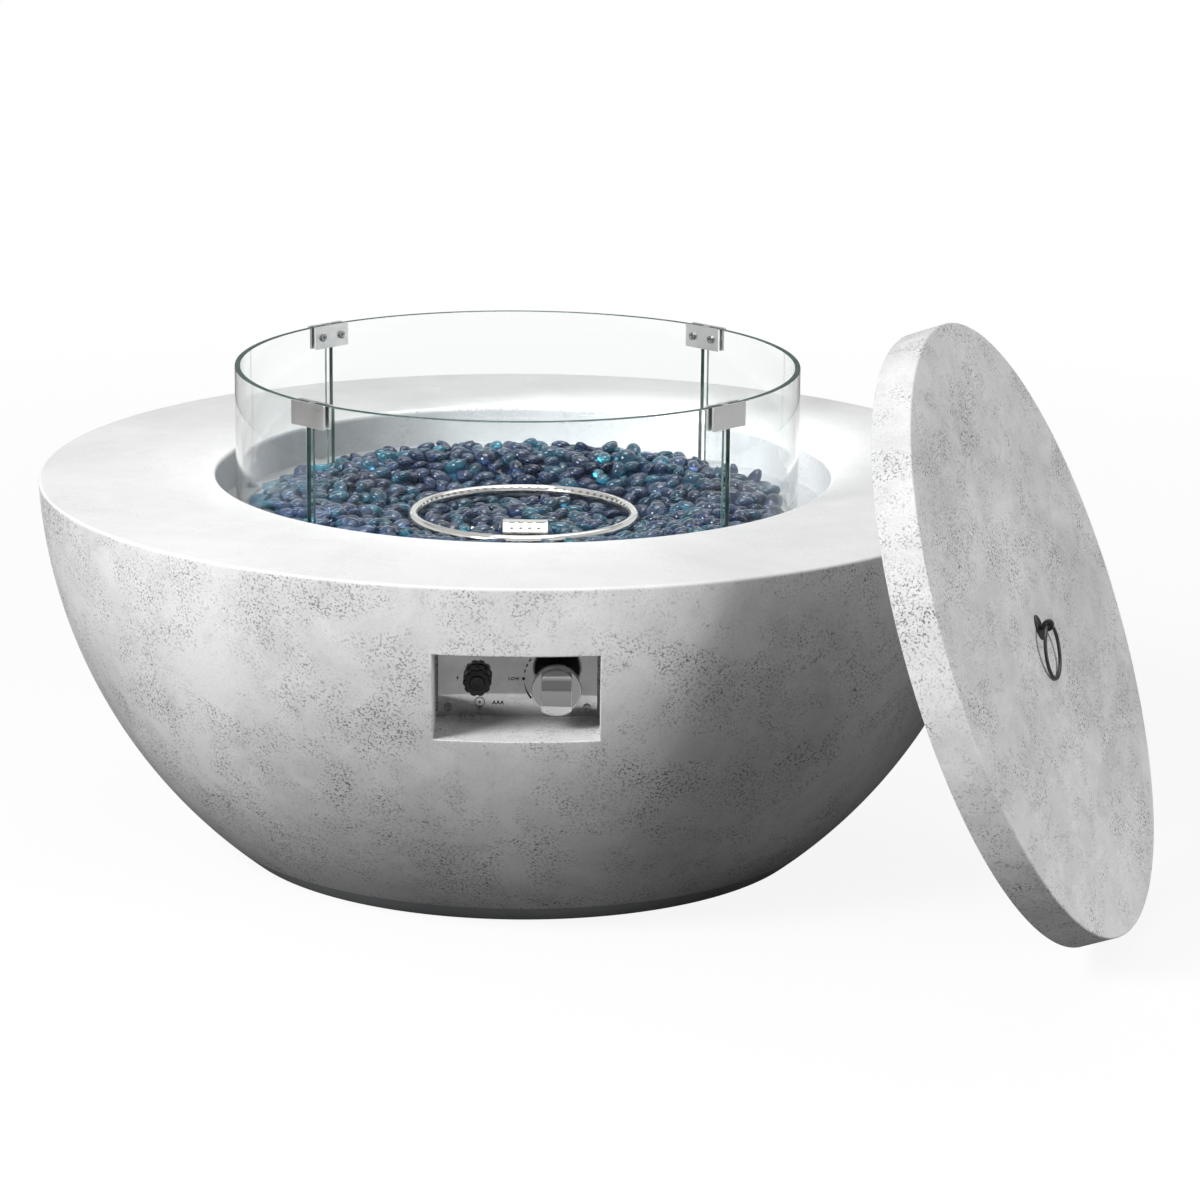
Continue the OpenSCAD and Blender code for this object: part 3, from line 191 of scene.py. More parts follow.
class FireGlassLook(bpy.types.PropertyGroup):
    """Size, number and colours of the loose fire glass."""

    pieces: number("Number of pieces", 1900)
    seed: IntProperty(name="Seed of the scatter", default=7)
    long_half: length("Half the length of a middling piece", 0.0122)
    big_count: number("Number of big pieces on the crest", 130, 0)
    big_half: length("Half the length of a big piece", 0.015)
    crest_radius: length("Radius of the pile's crest", 0.245)
    crest: length("Height of the crest", 0.3885)
    middle: length("Height of the glass inside the ring", 0.3605)
    rim: length("Height of the glass beside the guard", 0.3815)
    navy: colour("Navy glass", (0.008, 0.055, 0.180))
    teal: colour("Teal glass", (0.010, 0.150, 0.270))
    turquoise: colour("Turquoise glass", (0.050, 0.430, 0.600))
    lilac: colour("Greyish glass", (0.075, 0.150, 0.290))


class LidSizes(bpy.types.PropertyGroup):
    """Sizes of the leaning lid."""

    radius: length("Radius of the lid", 0.331)
    thick: length("Thickness of the lid", 0.043)
    skin: length("Thickness of the concrete skin", 0.012)
    back: length("Thickness of the back panel", 0.006)
    edge_round: length("Rounding of the face's edge", 0.0022)
    lean: degrees("Lean of the lid from the vertical", 20.7)
    turn: degrees("Turn of the lid's face towards the front", 18.4)
    bolt_radius: length("Radius of the handle bolt's hole", 0.00305)
    pocket_radius: length("Radius of the nut's pocket in the back", 0.012)
    ring_radius: length("Radius of the ring handle's middle", 0.0285)
    wire_radius: length("Radius of the ring handle's wire", 0.0019)
    eye_up: length("Height of the eye's hole above the face", 0.011)
    ring_hang: degrees("Angle between the ring and the face", 8.881)


class ControlSizes(bpy.types.PropertyGroup):
    """Sizes of the knob, the igniter's cap and the marks on the plate."""

    skirt_thick: length("Thickness of the knob's skirt", 0.008)
    grip_width: length("Width of the knob's grip bar", 0.031)
    grip_radius: length("Radius of the grip bar's round ends", 0.0238)
    bulge: length("Radius of the grip bar's domed front", 0.045)
    knob_wall: length("Thickness of the knob's shell", 0.002)
    grooves: number("Finger grooves on the cap", 10, 3)
    groove_radius: length("Radius of a finger groove", 0.003)
    groove_place: length("Distance of a groove from the axis", 0.0163)
    cap_bore: length("Radius of the cap's bore", 0.00805)
    mark_height: length("Height of the lettering", 0.0040)
    mark_thick: length("Thickness of the printed marks", 0.00008)
    dial_radius: length("Radius of the arcs beside the knob", 0.0335)


class StageLook(bpy.types.PropertyGroup):
    """Camera, floor and background."""

    camera_place: vector("Place of the camera", (0.0586, -4.5943, 1.45905))
    pitch: degrees("How far the camera looks down", 14.5345)
    yaw: degrees("How far the camera looks to the right", 0.338)
    roll: degrees("How far the camera is rolled", 0.5353)
    lens: amount("Focal length in millimetres", 127.55)
    sky: amount("Strength of the soft light all round", 0.18)
    mirrored_sky: amount("Strength of the high sky in gloss", 0.80)
    mirrored_top: amount("Extra strength right overhead in gloss", 11.0)
    floor_half: length("Half the width of the floor", 30.0)
    floor_grey: colour("Colour of the floor to the light", (0.10, 0.10, 0.10))
    floor_glow: fraction("Share of plain white in the floor", 0.90)
    floor_mirrored: fraction("Whiteness of the floor in gloss", 0.12)


class FireBowl(bpy.types.PropertyGroup):
    """Everything that can be set on the fire bowl."""

    bowl: PointerProperty(type=BowlSizes)
    concrete: PointerProperty(type=ConcreteLook)
    guard: PointerProperty(type=GuardSizes)
    burner: PointerProperty(type=BurnerSizes)
    glass: PointerProperty(type=FireGlassLook)
    lid: PointerProperty(type=LidSizes)
    controls: PointerProperty(type=ControlSizes)
    stage: PointerProperty(type=StageLook)


# ---- materials ----
class Nodes:
    """A node tree in the making."""

    def __init__(self, owner):
        owner.use_nodes = True
        self.tree = owner.node_tree

    def feed(self, socket, value):
        """Links a socket to another one, or gives it a plain value."""
        if isinstance(value, bpy.types.NodeSocket):
            self.tree.links.new(value, socket)
        elif socket.type == "RGBA" and len(value) == 3:
            socket.default_value = (*value, 1.0)
        else:
            socket.default_value = value

    def node(self, kind, inputs=(), **settings):
        made = self.tree.nodes.new("ShaderNode" + kind)
        for name, value in settings.items():
            setattr(made, name, value)
        for key, value in dict(inputs).items():
            self.feed(made.inputs[key], value)
        return made

    def band(self, value, low, high, to_low=0.0, to_high=1.0):
        """Maps low..high of a value to to_low..to_high, held at both ends."""
        return self.node("MapRange", {
            "Value": value, "From Min": low, "From Max": high,
            "To Min": to_low, "To Max": to_high}).outputs["Result"]

    def sum(self, operation, first, second):
        return self.node("Math", {0: first, 1: second}, operation=operation).outputs[0]

    def shared(self, share, first, second):
        """Shares a surface between two shaders."""
        return self.node("MixShader", {0: share, 1: first, 2: second}).outputs[0]


class Recipe(Nodes):
    """A material's node tree in the making."""

    def __init__(self, name, **sockets):
        self.material = bpy.data.materials.new(name)
        super().__init__(self.material)
        self.shader = self.tree.nodes["Principled BSDF"]
        self.surface = self.tree.nodes["Material Output"].inputs["Surface"]
        self.place = self.tree.nodes.new("ShaderNodeTexCoord").outputs["Object"]
        self.set(**sockets)

    def set(self, **sockets):
        """Sets or links the shader's sockets; an underscore stands for a space."""
        for name, value in sockets.items():
            self.feed(self.shader.inputs[name.replace("_", " ")], value)

    def stretched(self, scale):
        """Object coordinates, scaled."""
        return self.node("Mapping", {"Vector": self.place, "Scale": scale}).outputs[0]

    def noise(self, scale, detail=3.0, rough=0.5, place=None, distortion=0.0):
        """Soft noise; a feature is about 1 / scale metres wide."""
        return self.node("TexNoise", {
            "Vector": place or self.place, "Scale": scale, "Detail": detail,
            "Roughness": rough, "Distortion": distortion}).outputs["Fac"]

    def apart(self, flat=False):
        """Distance from the model's middle, or from its upright axis."""
        place = self.place
        if flat:
            level = {0: place, 1: (1.0, 1.0, 0.0)}
            place = self.node("VectorMath", level, operation="MULTIPLY").outputs["Vector"]
        return self.node("VectorMath", {0: place}, operation="LENGTH").outputs["Value"]

    def mixed(self, share, first, second, blend="MIX"):
        """Mixes two colours by a share."""
        made = self.node("Mix", data_type="RGBA", blend_type=blend)
        self.feed(made.inputs["Factor"], share)
        self.feed(made.inputs[6], first)
        self.feed(made.inputs[7], second)
        return made.outputs[2]

    def bumped(self, height, strength, distance):
        self.set(Normal=self.node("Bump", {
            "Height": height, "Strength": strength, "Distance": distance}).outputs["Normal"])


def paler(base, share):
    return tuple(c + (1.0 - c) * share for c in base)


def darker(base, share):
    return tuple(c * (1.0 - share) for c in base)


def concrete(name, look, deck_from=None, streaks=False, recess=0.0):
    """Pale cast concrete with soft clouds and clusters of very fine dark specks.

    The deck is paler and has fewer specks from a height on, and the wall inside the recess' radius is painted
    darker as painted shade, with fewer specks.
    """
    recipe = Recipe(name)
    place = recipe.stretched((1.0, 1.0, 1.7)) if streaks else recipe.place
    clouds = recipe.noise(4.2, 6.0, 0.62, place, 0.4)
    smears = recipe.noise(23.0, 5.0, 0.65, place, 0.8)
    shade = recipe.band(recipe.sum("ADD", clouds, recipe.sum("MULTIPLY", smears, 0.45)), 0.55, 0.88)
    tone = recipe.mixed(shade, look.cloud, look.pale)
    grain = recipe.noise(380.0, 2.0, 0.6)
    tone = recipe.mixed(recipe.band(grain, 0.30, 0.72, 0.0, 0.10), tone, look.cloud, "MULTIPLY")
    clusters = recipe.band(recipe.noise(11.0, 7.0, 0.75, place, 0.6), 0.44, 0.62, 0.08, 1.0)
    fine = recipe.band(recipe.noise(390.0, 2.0, 0.6), 0.53, 0.60)
    coarse = recipe.band(recipe.noise(190.0, 3.0, 0.6), 0.62, 0.69)
    few = recipe.band(recipe.noise(60.0, 3.0, 0.6), 0.62, 0.70, 0.04, 1.0)
    specks = recipe.sum("MAXIMUM", recipe.sum("MULTIPLY", fine, clusters),
                        recipe.sum("MULTIPLY", coarse, recipe.sum("MULTIPLY", clusters, few)))
    if deck_from is not None:
        height = recipe.node("SeparateXYZ", {"Vector": recipe.place}).outputs["Z"]
        low = recipe.band(height, deck_from - 0.0035, deck_from - 0.0015, 1.0, 0.12)
        specks = recipe.sum("MULTIPLY", specks, low)
        tone = recipe.mixed(recipe.band(height, deck_from - 0.003, deck_from - 0.001, 0.0, 0.6),
                            tone, look.pale)
        # painted shade: below the deck, the wall inside the fire opening is multiplied by the recess colour
        # and keeps fewer specks
        within = recipe.band(recipe.apart(flat=True), recess + 0.002, recess + 0.004, 1.0, 0.0)
        below = recipe.band(height, deck_from - 0.006, deck_from - 0.003, 1.0, 0.0)
        recess_shade_mask = recipe.sum("MULTIPLY", within, below)
        tone = recipe.mixed(recess_shade_mask, tone, look.recess, "MULTIPLY")
        specks = recipe.sum("MULTIPLY", specks, recipe.band(recess_shade_mask, 0.0, 1.0, 1.0, 0.3))
    share = recipe.sum("MULTIPLY", specks, look.speck_share)
    recipe.set(Base_Color=recipe.mixed(share, tone, look.speck), Metallic=0.0,
               Roughness=recipe.band(smears, 0.3, 0.7, look.roughness - 0.08, look.roughness + 0.06),
               Specular_IOR_Level=0.3)
    height = recipe.sum("SUBTRACT", recipe.sum("MULTIPLY", grain, 0.3), recipe.sum("MULTIPLY", specks, 0.7))
    recipe.bumped(height, 0.35, 0.0006)
    return recipe.material


def metal(name, base, roughness, brushed=0.0, along=(1.0, 1.0, 1.0), wear=0.04):
    """Bare metal: a fine grain in its roughness, and faint smears in its colour."""
    recipe = Recipe(name, Metallic=1.0)
    grain = recipe.noise(900.0, 3.0, 0.6, recipe.stretched(along))
    smears = recipe.noise(35.0, 4.0, 0.6)
    both = recipe.sum("ADD", recipe.sum("MULTIPLY", grain, 0.5), recipe.sum("MULTIPLY", smears, 0.5))
    swing = 0.04 + brushed * 0.1
    recipe.set(Base_Color=recipe.mixed(recipe.band(smears, 0.35, 0.7), darker(base, wear), base),
               Roughness=recipe.band(both, 0.3, 0.7, max(0.01, roughness - swing), roughness + swing))
    recipe.bumped(grain, 0.02 + brushed * 0.25, 0.0002)
    return recipe.material


def moulded(name, base, roughness, grain_scale=700.0, bump=0.12):
    """Plastic, rubber or powder coat with a fine texture and slightly uneven gloss."""
    recipe = Recipe(name, Metallic=0.0)
    grain = recipe.noise(grain_scale, 2.0, 0.5)
    patches = recipe.noise(60.0, 4.0, 0.6)
    recipe.set(Base_Color=recipe.mixed(recipe.band(patches, 0.35, 0.7), base, paler(base, 0.03)),
               Roughness=recipe.band(patches, 0.3, 0.7, roughness - 0.06, roughness + 0.06))
    recipe.bumped(grain, bump, 0.0002)
    return recipe.material


def mirror_sheet(name):
    """Polished stainless sheet, with a faint brushed grain and smears."""
    recipe = Recipe(name, Metallic=1.0)
    grain = recipe.noise(420.0, 3.0, 0.6, recipe.stretched((0.08, 1.0, 3.0)))
    smears = recipe.noise(28.0, 5.0, 0.65)
    recipe.set(Base_Color=recipe.mixed(recipe.band(smears, 0.35, 0.7), (0.50, 0.50, 0.50),
                                       (0.66, 0.66, 0.66)),
               Roughness=recipe.band(grain, 0.3, 0.7, 0.03, 0.07))
    recipe.bumped(grain, 0.03, 0.0002)
    return recipe.material


def lamps_pass(recipe, tint):
    """Lets lamplight straight through a clear piece, so that it casts only a faint shadow."""
    clear = recipe.node("BsdfTransparent", {"Color": tint})
    lamp_ray = recipe.node("LightPath").outputs["Is Shadow Ray"]
    recipe.feed(recipe.surface, recipe.shared(lamp_ray, recipe.shader.outputs[0], clear.outputs[0]))


def clear_glass(name, look):
    """Clear tempered glass with a faint green tint."""
    recipe = Recipe(name, Base_Color=look.tint, IOR=1.5, Transmission_Weight=1.0,
                    Specular_Tint=(look.gloss, look.gloss, look.gloss))
    recipe.set(Roughness=recipe.band(recipe.noise(14.0, 3.0, 0.5), 0.3, 0.8, 0.0, 0.012))
    lamps_pass(recipe, paler(look.tint, 0.3))
    return recipe.material


def glass_edge(name, look):
    """Ground and polished edge, dark green because it shows the depth of the glass."""
    recipe = Recipe(name, IOR=1.5, Coat_Weight=0.6, Coat_Roughness=0.1)
    depth = recipe.noise(45.0, 3.0, 0.6)
    recipe.set(Base_Color=recipe.mixed(recipe.band(depth, 0.3, 0.7), look.edge, paler(look.edge, 0.10)),
               Roughness=recipe.band(depth, 0.3, 0.7, 0.12, 0.25))
    return recipe.material


def tumbled_glass(name, base, depth):
    """Tumbled glass: body colour that varies from piece to piece, with a few paler patches of painted light
    that stand in for light passing through the glass.
    """
    recipe = Recipe(name, IOR=1.45, Transmission_Weight=depth, Specular_IOR_Level=0.4)
    tints = recipe.node("TexVoronoi", {"Vector": recipe.place, "Scale": 42.0}).outputs["Color"]
    own = recipe.node("SeparateXYZ", {"Vector": tints}).outputs["X"]
    caustic_and_gloss = recipe.noise(110.0, 3.0, 0.6, None, 1.5)
    body = recipe.mixed(recipe.band(own, 0.1, 0.9), darker(base, 0.5), paler(base, 0.05))
    # painted light: where this noise is high the body colour turns paler, standing in for light that passes
    # through and gathers in the glass; the same noise varies the roughness
    recipe.set(Base_Color=recipe.mixed(recipe.band(caustic_and_gloss, 0.60, 0.80), body, paler(base, 0.25)),
               Roughness=recipe.band(caustic_and_gloss, 0.3, 0.7, 0.02, 0.06))
    return recipe.material


def plain_floor(name, look):
    """Pale floor: white to the eye and to gloss, grey to the light that it throws back."""
    recipe = Recipe(name, Metallic=0.0)
    path = recipe.node("LightPath").outputs
    straight = recipe.sum("MAXIMUM", path["Is Camera Ray"], path["Is Transmission Ray"])
    seen = recipe.sum("MAXIMUM", straight,
                      recipe.sum("MULTIPLY", path["Is Glossy Ray"], look.floor_mirrored))
    faint = recipe.band(recipe.noise(3.0, 4.0, 0.5), 0.3, 0.7, 0.985, 1.0)
    pale = recipe.mixed(faint, (0.86, 0.86, 0.86), (0.9, 0.9, 0.9))
    body = recipe.node("BsdfDiffuse", {"Color": recipe.mixed(seen, look.floor_grey, pale)})
    glow = recipe.node("Emission", {"Color": WHITE, "Strength": 1.0})
    share = recipe.sum("MULTIPLY", seen, recipe.band(recipe.apart(), 1.0, 3.0, look.floor_glow, 1.0))
    recipe.feed(recipe.surface, recipe.shared(share, body.outputs[0], glow.outputs[0]))
    return recipe.material


# each slot's recipe, with its colour, roughness and finer settings
LOOKS = {
    "pan_steel": (metal, (0.60, 0.60, 0.59), 0.34, 0.5),
    "burner_steel": (metal, (0.66, 0.65, 0.63), 0.09),
    "polished_steel": (mirror_sheet,),
    "clamp_steel": (metal, (0.80, 0.80, 0.79), 0.34, 0.6, (1.0, 1.0, 14.0)),
    "screw_steel": (metal, (0.30, 0.30, 0.30), 0.20),
    "brass": (metal, (0.72, 0.55, 0.26), 0.28),
    "knob_chrome": (metal, (0.72, 0.72, 0.73), 0.05, 0.0, (1.0, 1.0, 1.0), 0.02),
    "black_plastic": (moulded, (0.012, 0.012, 0.013), 0.32),
    "ceramic_white": (moulded, (0.86, 0.84, 0.78), 0.62, 500.0, 0.08),
    "battery_label": (moulded, (0.10, 0.14, 0.24), 0.30, 300.0, 0.02),
    "clear_pad": (moulded, (0.74, 0.75, 0.73), 0.45, 500.0, 0.05),
    "wire_cover": (moulded, (0.38, 0.05, 0.04), 0.5),
    "copper_lead": (metal, (0.66, 0.36, 0.22), 0.3),
    "hose_metal": (metal, (0.62, 0.62, 0.63), 0.3, 0.3),
    "hose_rubber": (moulded, (0.018, 0.018, 0.018), 0.6),
    "black_iron": (moulded, (0.014, 0.014, 0.014), 0.38, 420.0, 0.3),
    "lid_filling": (moulded, (0.80, 0.79, 0.74), 0.9, 260.0, 0.6),
}


def look_of(slot):
    """The material of a slot, made once. The frame brings a plain one under the slot's own name."""
    name = slot + "_look"
    recipe, *settings = LOOKS[slot]
    return bpy.data.materials.get(name) or recipe(name, *settings)


# ---- shaping ----
def rounded(corners, steps=4):
    """Profile points of a turned piece. A corner is (radius, height) or (radius, height, rounding)."""
    points = []
    count = len(corners)
    for i, corner in enumerate(corners):
        here = Vector(corner[:2])
        if len(corner) < 3 or not corner[2]:
            points.append(here)
            continue
        back = (Vector(corners[i - 1][:2]) - here).normalized()
        ahead = (Vector(corners[(i + 1) % count][:2]) - here).normalized()
        half = back.angle(ahead) / 2
        centre = here + (back + ahead).normalized() * corner[2] / math.sin(half)
        start = here + back * corner[2] / math.tan(half) - centre
        end = here + ahead * corner[2] / math.tan(half) - centre
        swing = start.angle_signed(end)
        for k in range(steps + 1):
            turn = Matrix.Rotation(-swing * k / steps, 2)
            points.append(centre + turn @ start)
    return points


def revolve(bm, profile, steps, loop=True, angle=FULL_TURN, start=0.0, centre=(0.0, 0.0, 0.0)):
    """Spins a line of (radius, height) points about an upright axis through a centre."""
    centre = Vector(centre)
    first = Matrix.Translation(centre) @ Matrix.Rotation(start, 4, "Z")
    verts = [bm.verts.new(first @ Vector((r, 0.0, z))) for r, z in profile]
    edges = [bm.edges.new(pair) for pair in zip(verts, verts[1:])]
    if loop:
        edges.append(bm.edges.new((verts[-1], verts[0])))
    full = angle > FULL_TURN - HAIR
    bmesh.ops.spin(bm, geom=verts + edges, cent=centre, axis=(0.0, 0.0, 1.0), dvec=(0.0, 0.0, 0.0),
                   angle=angle, steps=steps, use_merge=full, use_duplicate=False)


def cut_across(bm, faces, axis, bound):
    """Cuts some faces where a plane across an axis meets them."""
    parts = {e for f in faces for e in f.edges} | {v for f in faces for v in f.verts}
    normal = Vector([float(k == axis) for k in range(3)])
    bmesh.ops.bisect_plane(bm, geom=[*parts, *faces], plane_co=normal * bound, plane_no=normal, dist=HAIR)


def cut_window(bm, near, low, high, axes):
    """Cuts a rectangular window into the faces that near() picks; returns its rim."""
    for axis in axes:
        for bound in (low[axis], high[axis]):
            cut_across(bm, [f for f in bm.faces if near(f.calc_center_median())], axis, bound)
    inside = set()
    for f in bm.faces:
        middle = f.calc_center_median()
        if near(middle) and all(low[a] < middle[a] < high[a] for a in axes):
            inside.add(f)
    rim = {e for f in inside for e in f.edges if any(g not in inside for g in e.link_faces)}
    bmesh.ops.delete(bm, geom=list(inside), context="FACES")
    return list(rim)


def push(bm, edges, move):
    """Extrudes a loop of edges, moves its new corners and returns the new loop."""
    grown = bmesh.ops.extrude_edge_only(bm, edges=edges)["geom"]
    verts = {part for part in grown if isinstance(part, bmesh.types.BMVert)}
    for vert in verts:
        vert.co = move(vert.co)
    return [part for part in grown if isinstance(part, bmesh.types.BMEdge)
            and part.verts[0] in verts and part.verts[1] in verts]


def loop_of(bm, points):
    """A closed loop of edges through some points."""
    verts = [bm.verts.new(point) for point in points]
    return [bm.edges.new(pair) for pair in zip(verts, verts[1:] + verts[:1])]


def circle(radius, count, place):
    """Points of a circle; place() maps its two flat coordinates into the piece."""
    angles = [FULL_TURN * k / count for k in range(count)]
    return [place(radius * math.cos(angle), radius * math.sin(angle)) for angle in angles]


def fill_between(bm, outer, inner):
    """Fills the flat space between two loops."""
    bmesh.ops.triangle_fill(bm, edges=outer + inner, use_beauty=True, use_dissolve=False)


def join_loops(bm, first, second):
    """Joins two loops that have the same number of corners."""
    bmesh.ops.bridge_loops(bm, edges=first + second)


def line_hole(bm, mouth, shell, front_y, back_y, hole):
    """Pushes two rims to their depths, closes them with flat walls and cuts a hole through both."""
    front = push(bm, mouth, lambda c: Vector((c.x, front_y, c.z)))
    back = push(bm, shell, lambda c: Vector((c.x, back_y, c.z)))
    near_loop, far_loop = hole(front_y), hole(back_y)
    fill_between(bm, front, near_loop)
    fill_between(bm, back, far_loop)
    join_loops(bm, near_loop, far_loop)


def soften(bm, edges, width, steps=3):
    """Rounds some edges."""
    bmesh.ops.bevel(bm, geom=edges, offset=width, offset_type="OFFSET", segments=steps, profile=0.5,
                    affect="EDGES", material=-1, clamp_overlap=True)


def merge(bm, gap=HAIR):
    """Joins corners that lie on each other."""
    bmesh.ops.remove_doubles(bm, verts=bm.verts[:], dist=gap)


def rod(bm, radius, long, place):
    """A closed round rod."""
    bmesh.ops.create_cone(bm, cap_ends=True, segments=32, radius1=radius, radius2=radius, depth=long,
                          matrix=place)


def even_shading(made):
    """Lets the large faces set the shading, so that flat walls look flat beside rounded edges."""
    weighted = made.modifiers.new("Even shading", "WEIGHTED_NORMAL")
    weighted.keep_sharp = True


def piece(name, bm, body, slot, replaces=(), smooth=35.0, place=None, looks=None, even=True):
    """Makes a finished piece from a bmesh: merged, faces outward, riding on a body."""
    if place is not None:
        bmesh.ops.transform(bm, matrix=place, verts=bm.verts[:])
    merge(bm)
    bmesh.ops.recalc_face_normals(bm, faces=bm.faces[:])
    for face in bm.faces:
        face.smooth = True
    mesh = bpy.data.meshes.new(name)
    bm.to_mesh(mesh)
    bm.free()
    for look in looks or [look_of(slot)]:
        mesh.materials.append(look)
    mesh.set_sharp_from_angle(angle=math.radians(smooth))
    made = bpy.data.objects.new(name, mesh)
    bpy.context.scene.collection.objects.link(made)
    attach(made, body)
    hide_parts(*replaces)
    if even:
        even_shading(made)
    return made


def machined(node, width, edit=None):
    """A CAD node's shape with its flat faces joined and its sharp edges broken."""
    record = frame["record"]
    slot = next(part["material_slot"] for part in record["subparts"] if part["node"] == node)
    body = next(name for name, nodes in record["behaviour"]["bodies"].items() if node in nodes)
    bm = bmesh.new()
    bm.from_mesh(frame["nodes"][node].data)
    merge(bm, HAIR * 5)
    bmesh.ops.dissolve_limit(bm, angle_limit=0.002, verts=bm.verts[:], edges=bm.edges[:],
                             use_dissolve_boundaries=False)
    if edit:
        edit(bm)
    made = piece(node + "_finish", bm, body, slot, [node], even=False)
    bevel = made.modifiers.new("Broken edges", "BEVEL")
    bevel.width = width
    bevel.segments = 2
    bevel.limit_method = "ANGLE"
    bevel.angle_limit = math.radians(40)
    bevel.use_clamp_overlap = True
    even_shading(made)


# ---- bowl ----
def side_radius(sizes, z, inset=0.0):
    """Radius of the bowl's side at a height, or of its inner face a wall's thickness in."""
    run = sizes.rim_radius - sizes.base_radius
    chord = math.hypot(run, sizes.height)
    off = math.sqrt(sizes.side_arc ** 2 - chord ** 2 / 4)
    middle_r = (sizes.base_radius + sizes.rim_radius) / 2 - off * sizes.height / chord
    middle_z = sizes.height / 2 + off * run / chord
    return middle_r + math.sqrt((sizes.side_arc - inset) ** 2 - (z - middle_z) ** 2)


def on_skin(sizes, c, outside):
    """True if a point of the side is nearer to its outer face, or to its inner one."""
    return (c.xy.length > side_radius(sizes, c.z) - sizes.wall / 2) == outside


def spread(low, high, count):
    """Even steps from low to high."""
    return [low + (high - low) * k / count for k in range(count + 1)]


def bowl_profile(s):
    """The bowl's section: side, deck, recess, ledge, inner wall and floor."""
    top = s.height - s.edge_round * 1.6
    under_deck = s.height - s.deck
    corners = [(0.0, 0.0), (s.vent_place - 0.04, 0.0), (s.vent_place + 0.04, 0.0),
               (s.base_radius, 0.0, 0.002)]
    corners += [(side_radius(s, z), z) for z in spread(0.006, top, 56)]
    corners += [(s.rim_radius, s.height, s.edge_round), (s.opening, s.height, s.edge_round),
                (s.opening, s.ledge, 0.0012), (s.pan_hole + s.rebate, s.ledge, 0.0006),
                (s.pan_hole + s.rebate, s.ledge - s.rebate_deep),
                (s.pan_hole, s.ledge - s.rebate_deep), (s.pan_hole, s.ledge - s.ledge_deep),
                (s.opening + s.wall, s.ledge - s.ledge_deep), (s.opening + s.wall, under_deck)]
    corners += [(side_radius(s, z, s.wall), z) for z in spread(under_deck, s.floor, 24)]
    corners += [(s.vent_place + 0.04, s.floor), (s.vent_place - 0.04, s.floor), (0.0, s.floor)]
    return rounded(corners)


def add_niche(bm, s):
    """Sinks the control niche into the side, with its lip, its window and its housing."""
    half = s.niche_width / 2
    low = Vector((-half, 0.0, s.niche_low))
    high = Vector((half, 0.0, s.niche_high))
    wall = Vector((s.niche_wall, 0.0, s.niche_wall))
    front = -0.4

    def rim(outside, low, high, beside, bottom, top):
        def near(c):
            return (c.y < front and abs(c.x) < half + beside and bottom < c.z < top
                    and on_skin(s, c, outside))
        return cut_window(bm, near, low, high, (0, 2))

    def window(y):
        w, h = s.window[0] / 2, s.window[1] / 2
        middle = (KNOB_LOW.z + KNOB_HIGH.z) / 2
        return loop_of(bm, [(-w, y, middle - h), (w, y, middle - h), (w, y, middle + h), (-w, y, middle + h)])

    mouth = rim(True, low, high, 0.04, 0.21, 0.39)
    shell = rim(False, low - wall, high + wall, 0.05, 0.19, 0.393)
    line_hole(bm, mouth, shell, PLATE_HIGH.y, PLATE_HIGH.y + s.lip, window)
    return mouth


def add_inlet_pocket(bm, s):
    """Sinks the inlet's round pocket into the back, with its boss and the hole for the shank."""
    height = (INLET_LOW.z + INLET_HIGH.z) / 2
    count = 48
    margin = 0.02

    def window(outside, radius, inset):
        half = radius + 0.01

        def near(c):
            return (c.y > 0.2 and abs(c.x) < half + margin and abs(c.z - height) < half + margin
                    and c.z > s.floor + HAIR and on_skin(s, c, outside))

        def on_side(a, b):
            return Vector((a, math.sqrt(side_radius(s, height + b, inset) ** 2 - a * a), height + b))

        corner = Vector((half, 0.0, half))
        middle = Vector((0.0, 0.0, height))
        rim = cut_window(bm, near, middle - corner, middle + corner, (0, 2))
        ring = loop_of(bm, circle(radius, count, on_side))
        fill_between(bm, rim, ring)
        return ring

    def shank(y):
        return loop_of(bm, circle(s.shank_radius, count, lambda a, b: Vector((a, y, height + b))))

    mouth = window(True, s.pocket_radius, 0.0)
    boss = window(False, s.boss_radius, s.wall)
    line_hole(bm, mouth, boss, INLET_HIGH.y - s.pocket_deep, LOCKNUT_BACK, shank)
    return mouth


def add_vents(bm, s):
    """Cuts the four round vents through the floor."""
    half = s.vent_radius + 0.008
    for k in range(4):
        angle = math.radians(45 + 90 * k)
        middle = Vector((s.vent_place * math.cos(angle), s.vent_place * math.sin(angle), 0.0))
        rings = []
        for z in (0.0, s.floor):
            def near(c, z=z):
                return abs(c.z - z) < HAIR and (c.xy - middle.xy).length < half * 1.5 + 0.03
            corner = Vector((half, half, 0.0))
            rim = cut_window(bm, near, middle - corner, middle + corner, (0, 1))
            ring = loop_of(bm, circle(s.vent_radius, 40, lambda a, b: middle + Vector((a, b, z))))
            fill_between(bm, rim, ring)
            rings.append(ring)
        join_loops(bm, *rings)


class FIREBOWL_OT_bowl(bpy.types.Operator):
    """Makes the concrete bowl with its deck, recess, niche and vents"""

    bl_idname = "firebowl.bowl"
    bl_label = "Concrete bowl"

    def execute(self, context):
        settings = context.scene.fire_bowl
        s = settings.bowl
        bm = bmesh.new()
        revolve(bm, bowl_profile(s), s.turns)
        merge(bm)
        edges = add_niche(bm, s) + add_inlet_pocket(bm, s)
        add_vents(bm, s)
        soften(bm, [e for e in edges if e.is_valid], s.niche_round)
        look = concrete("concrete", settings.concrete, deck_from=s.height, recess=s.opening)
        piece("concrete_bowl", bm, "bowl", "concrete", ["bowl_shell"], 40.0, looks=[look])
        return {"FINISHED"}


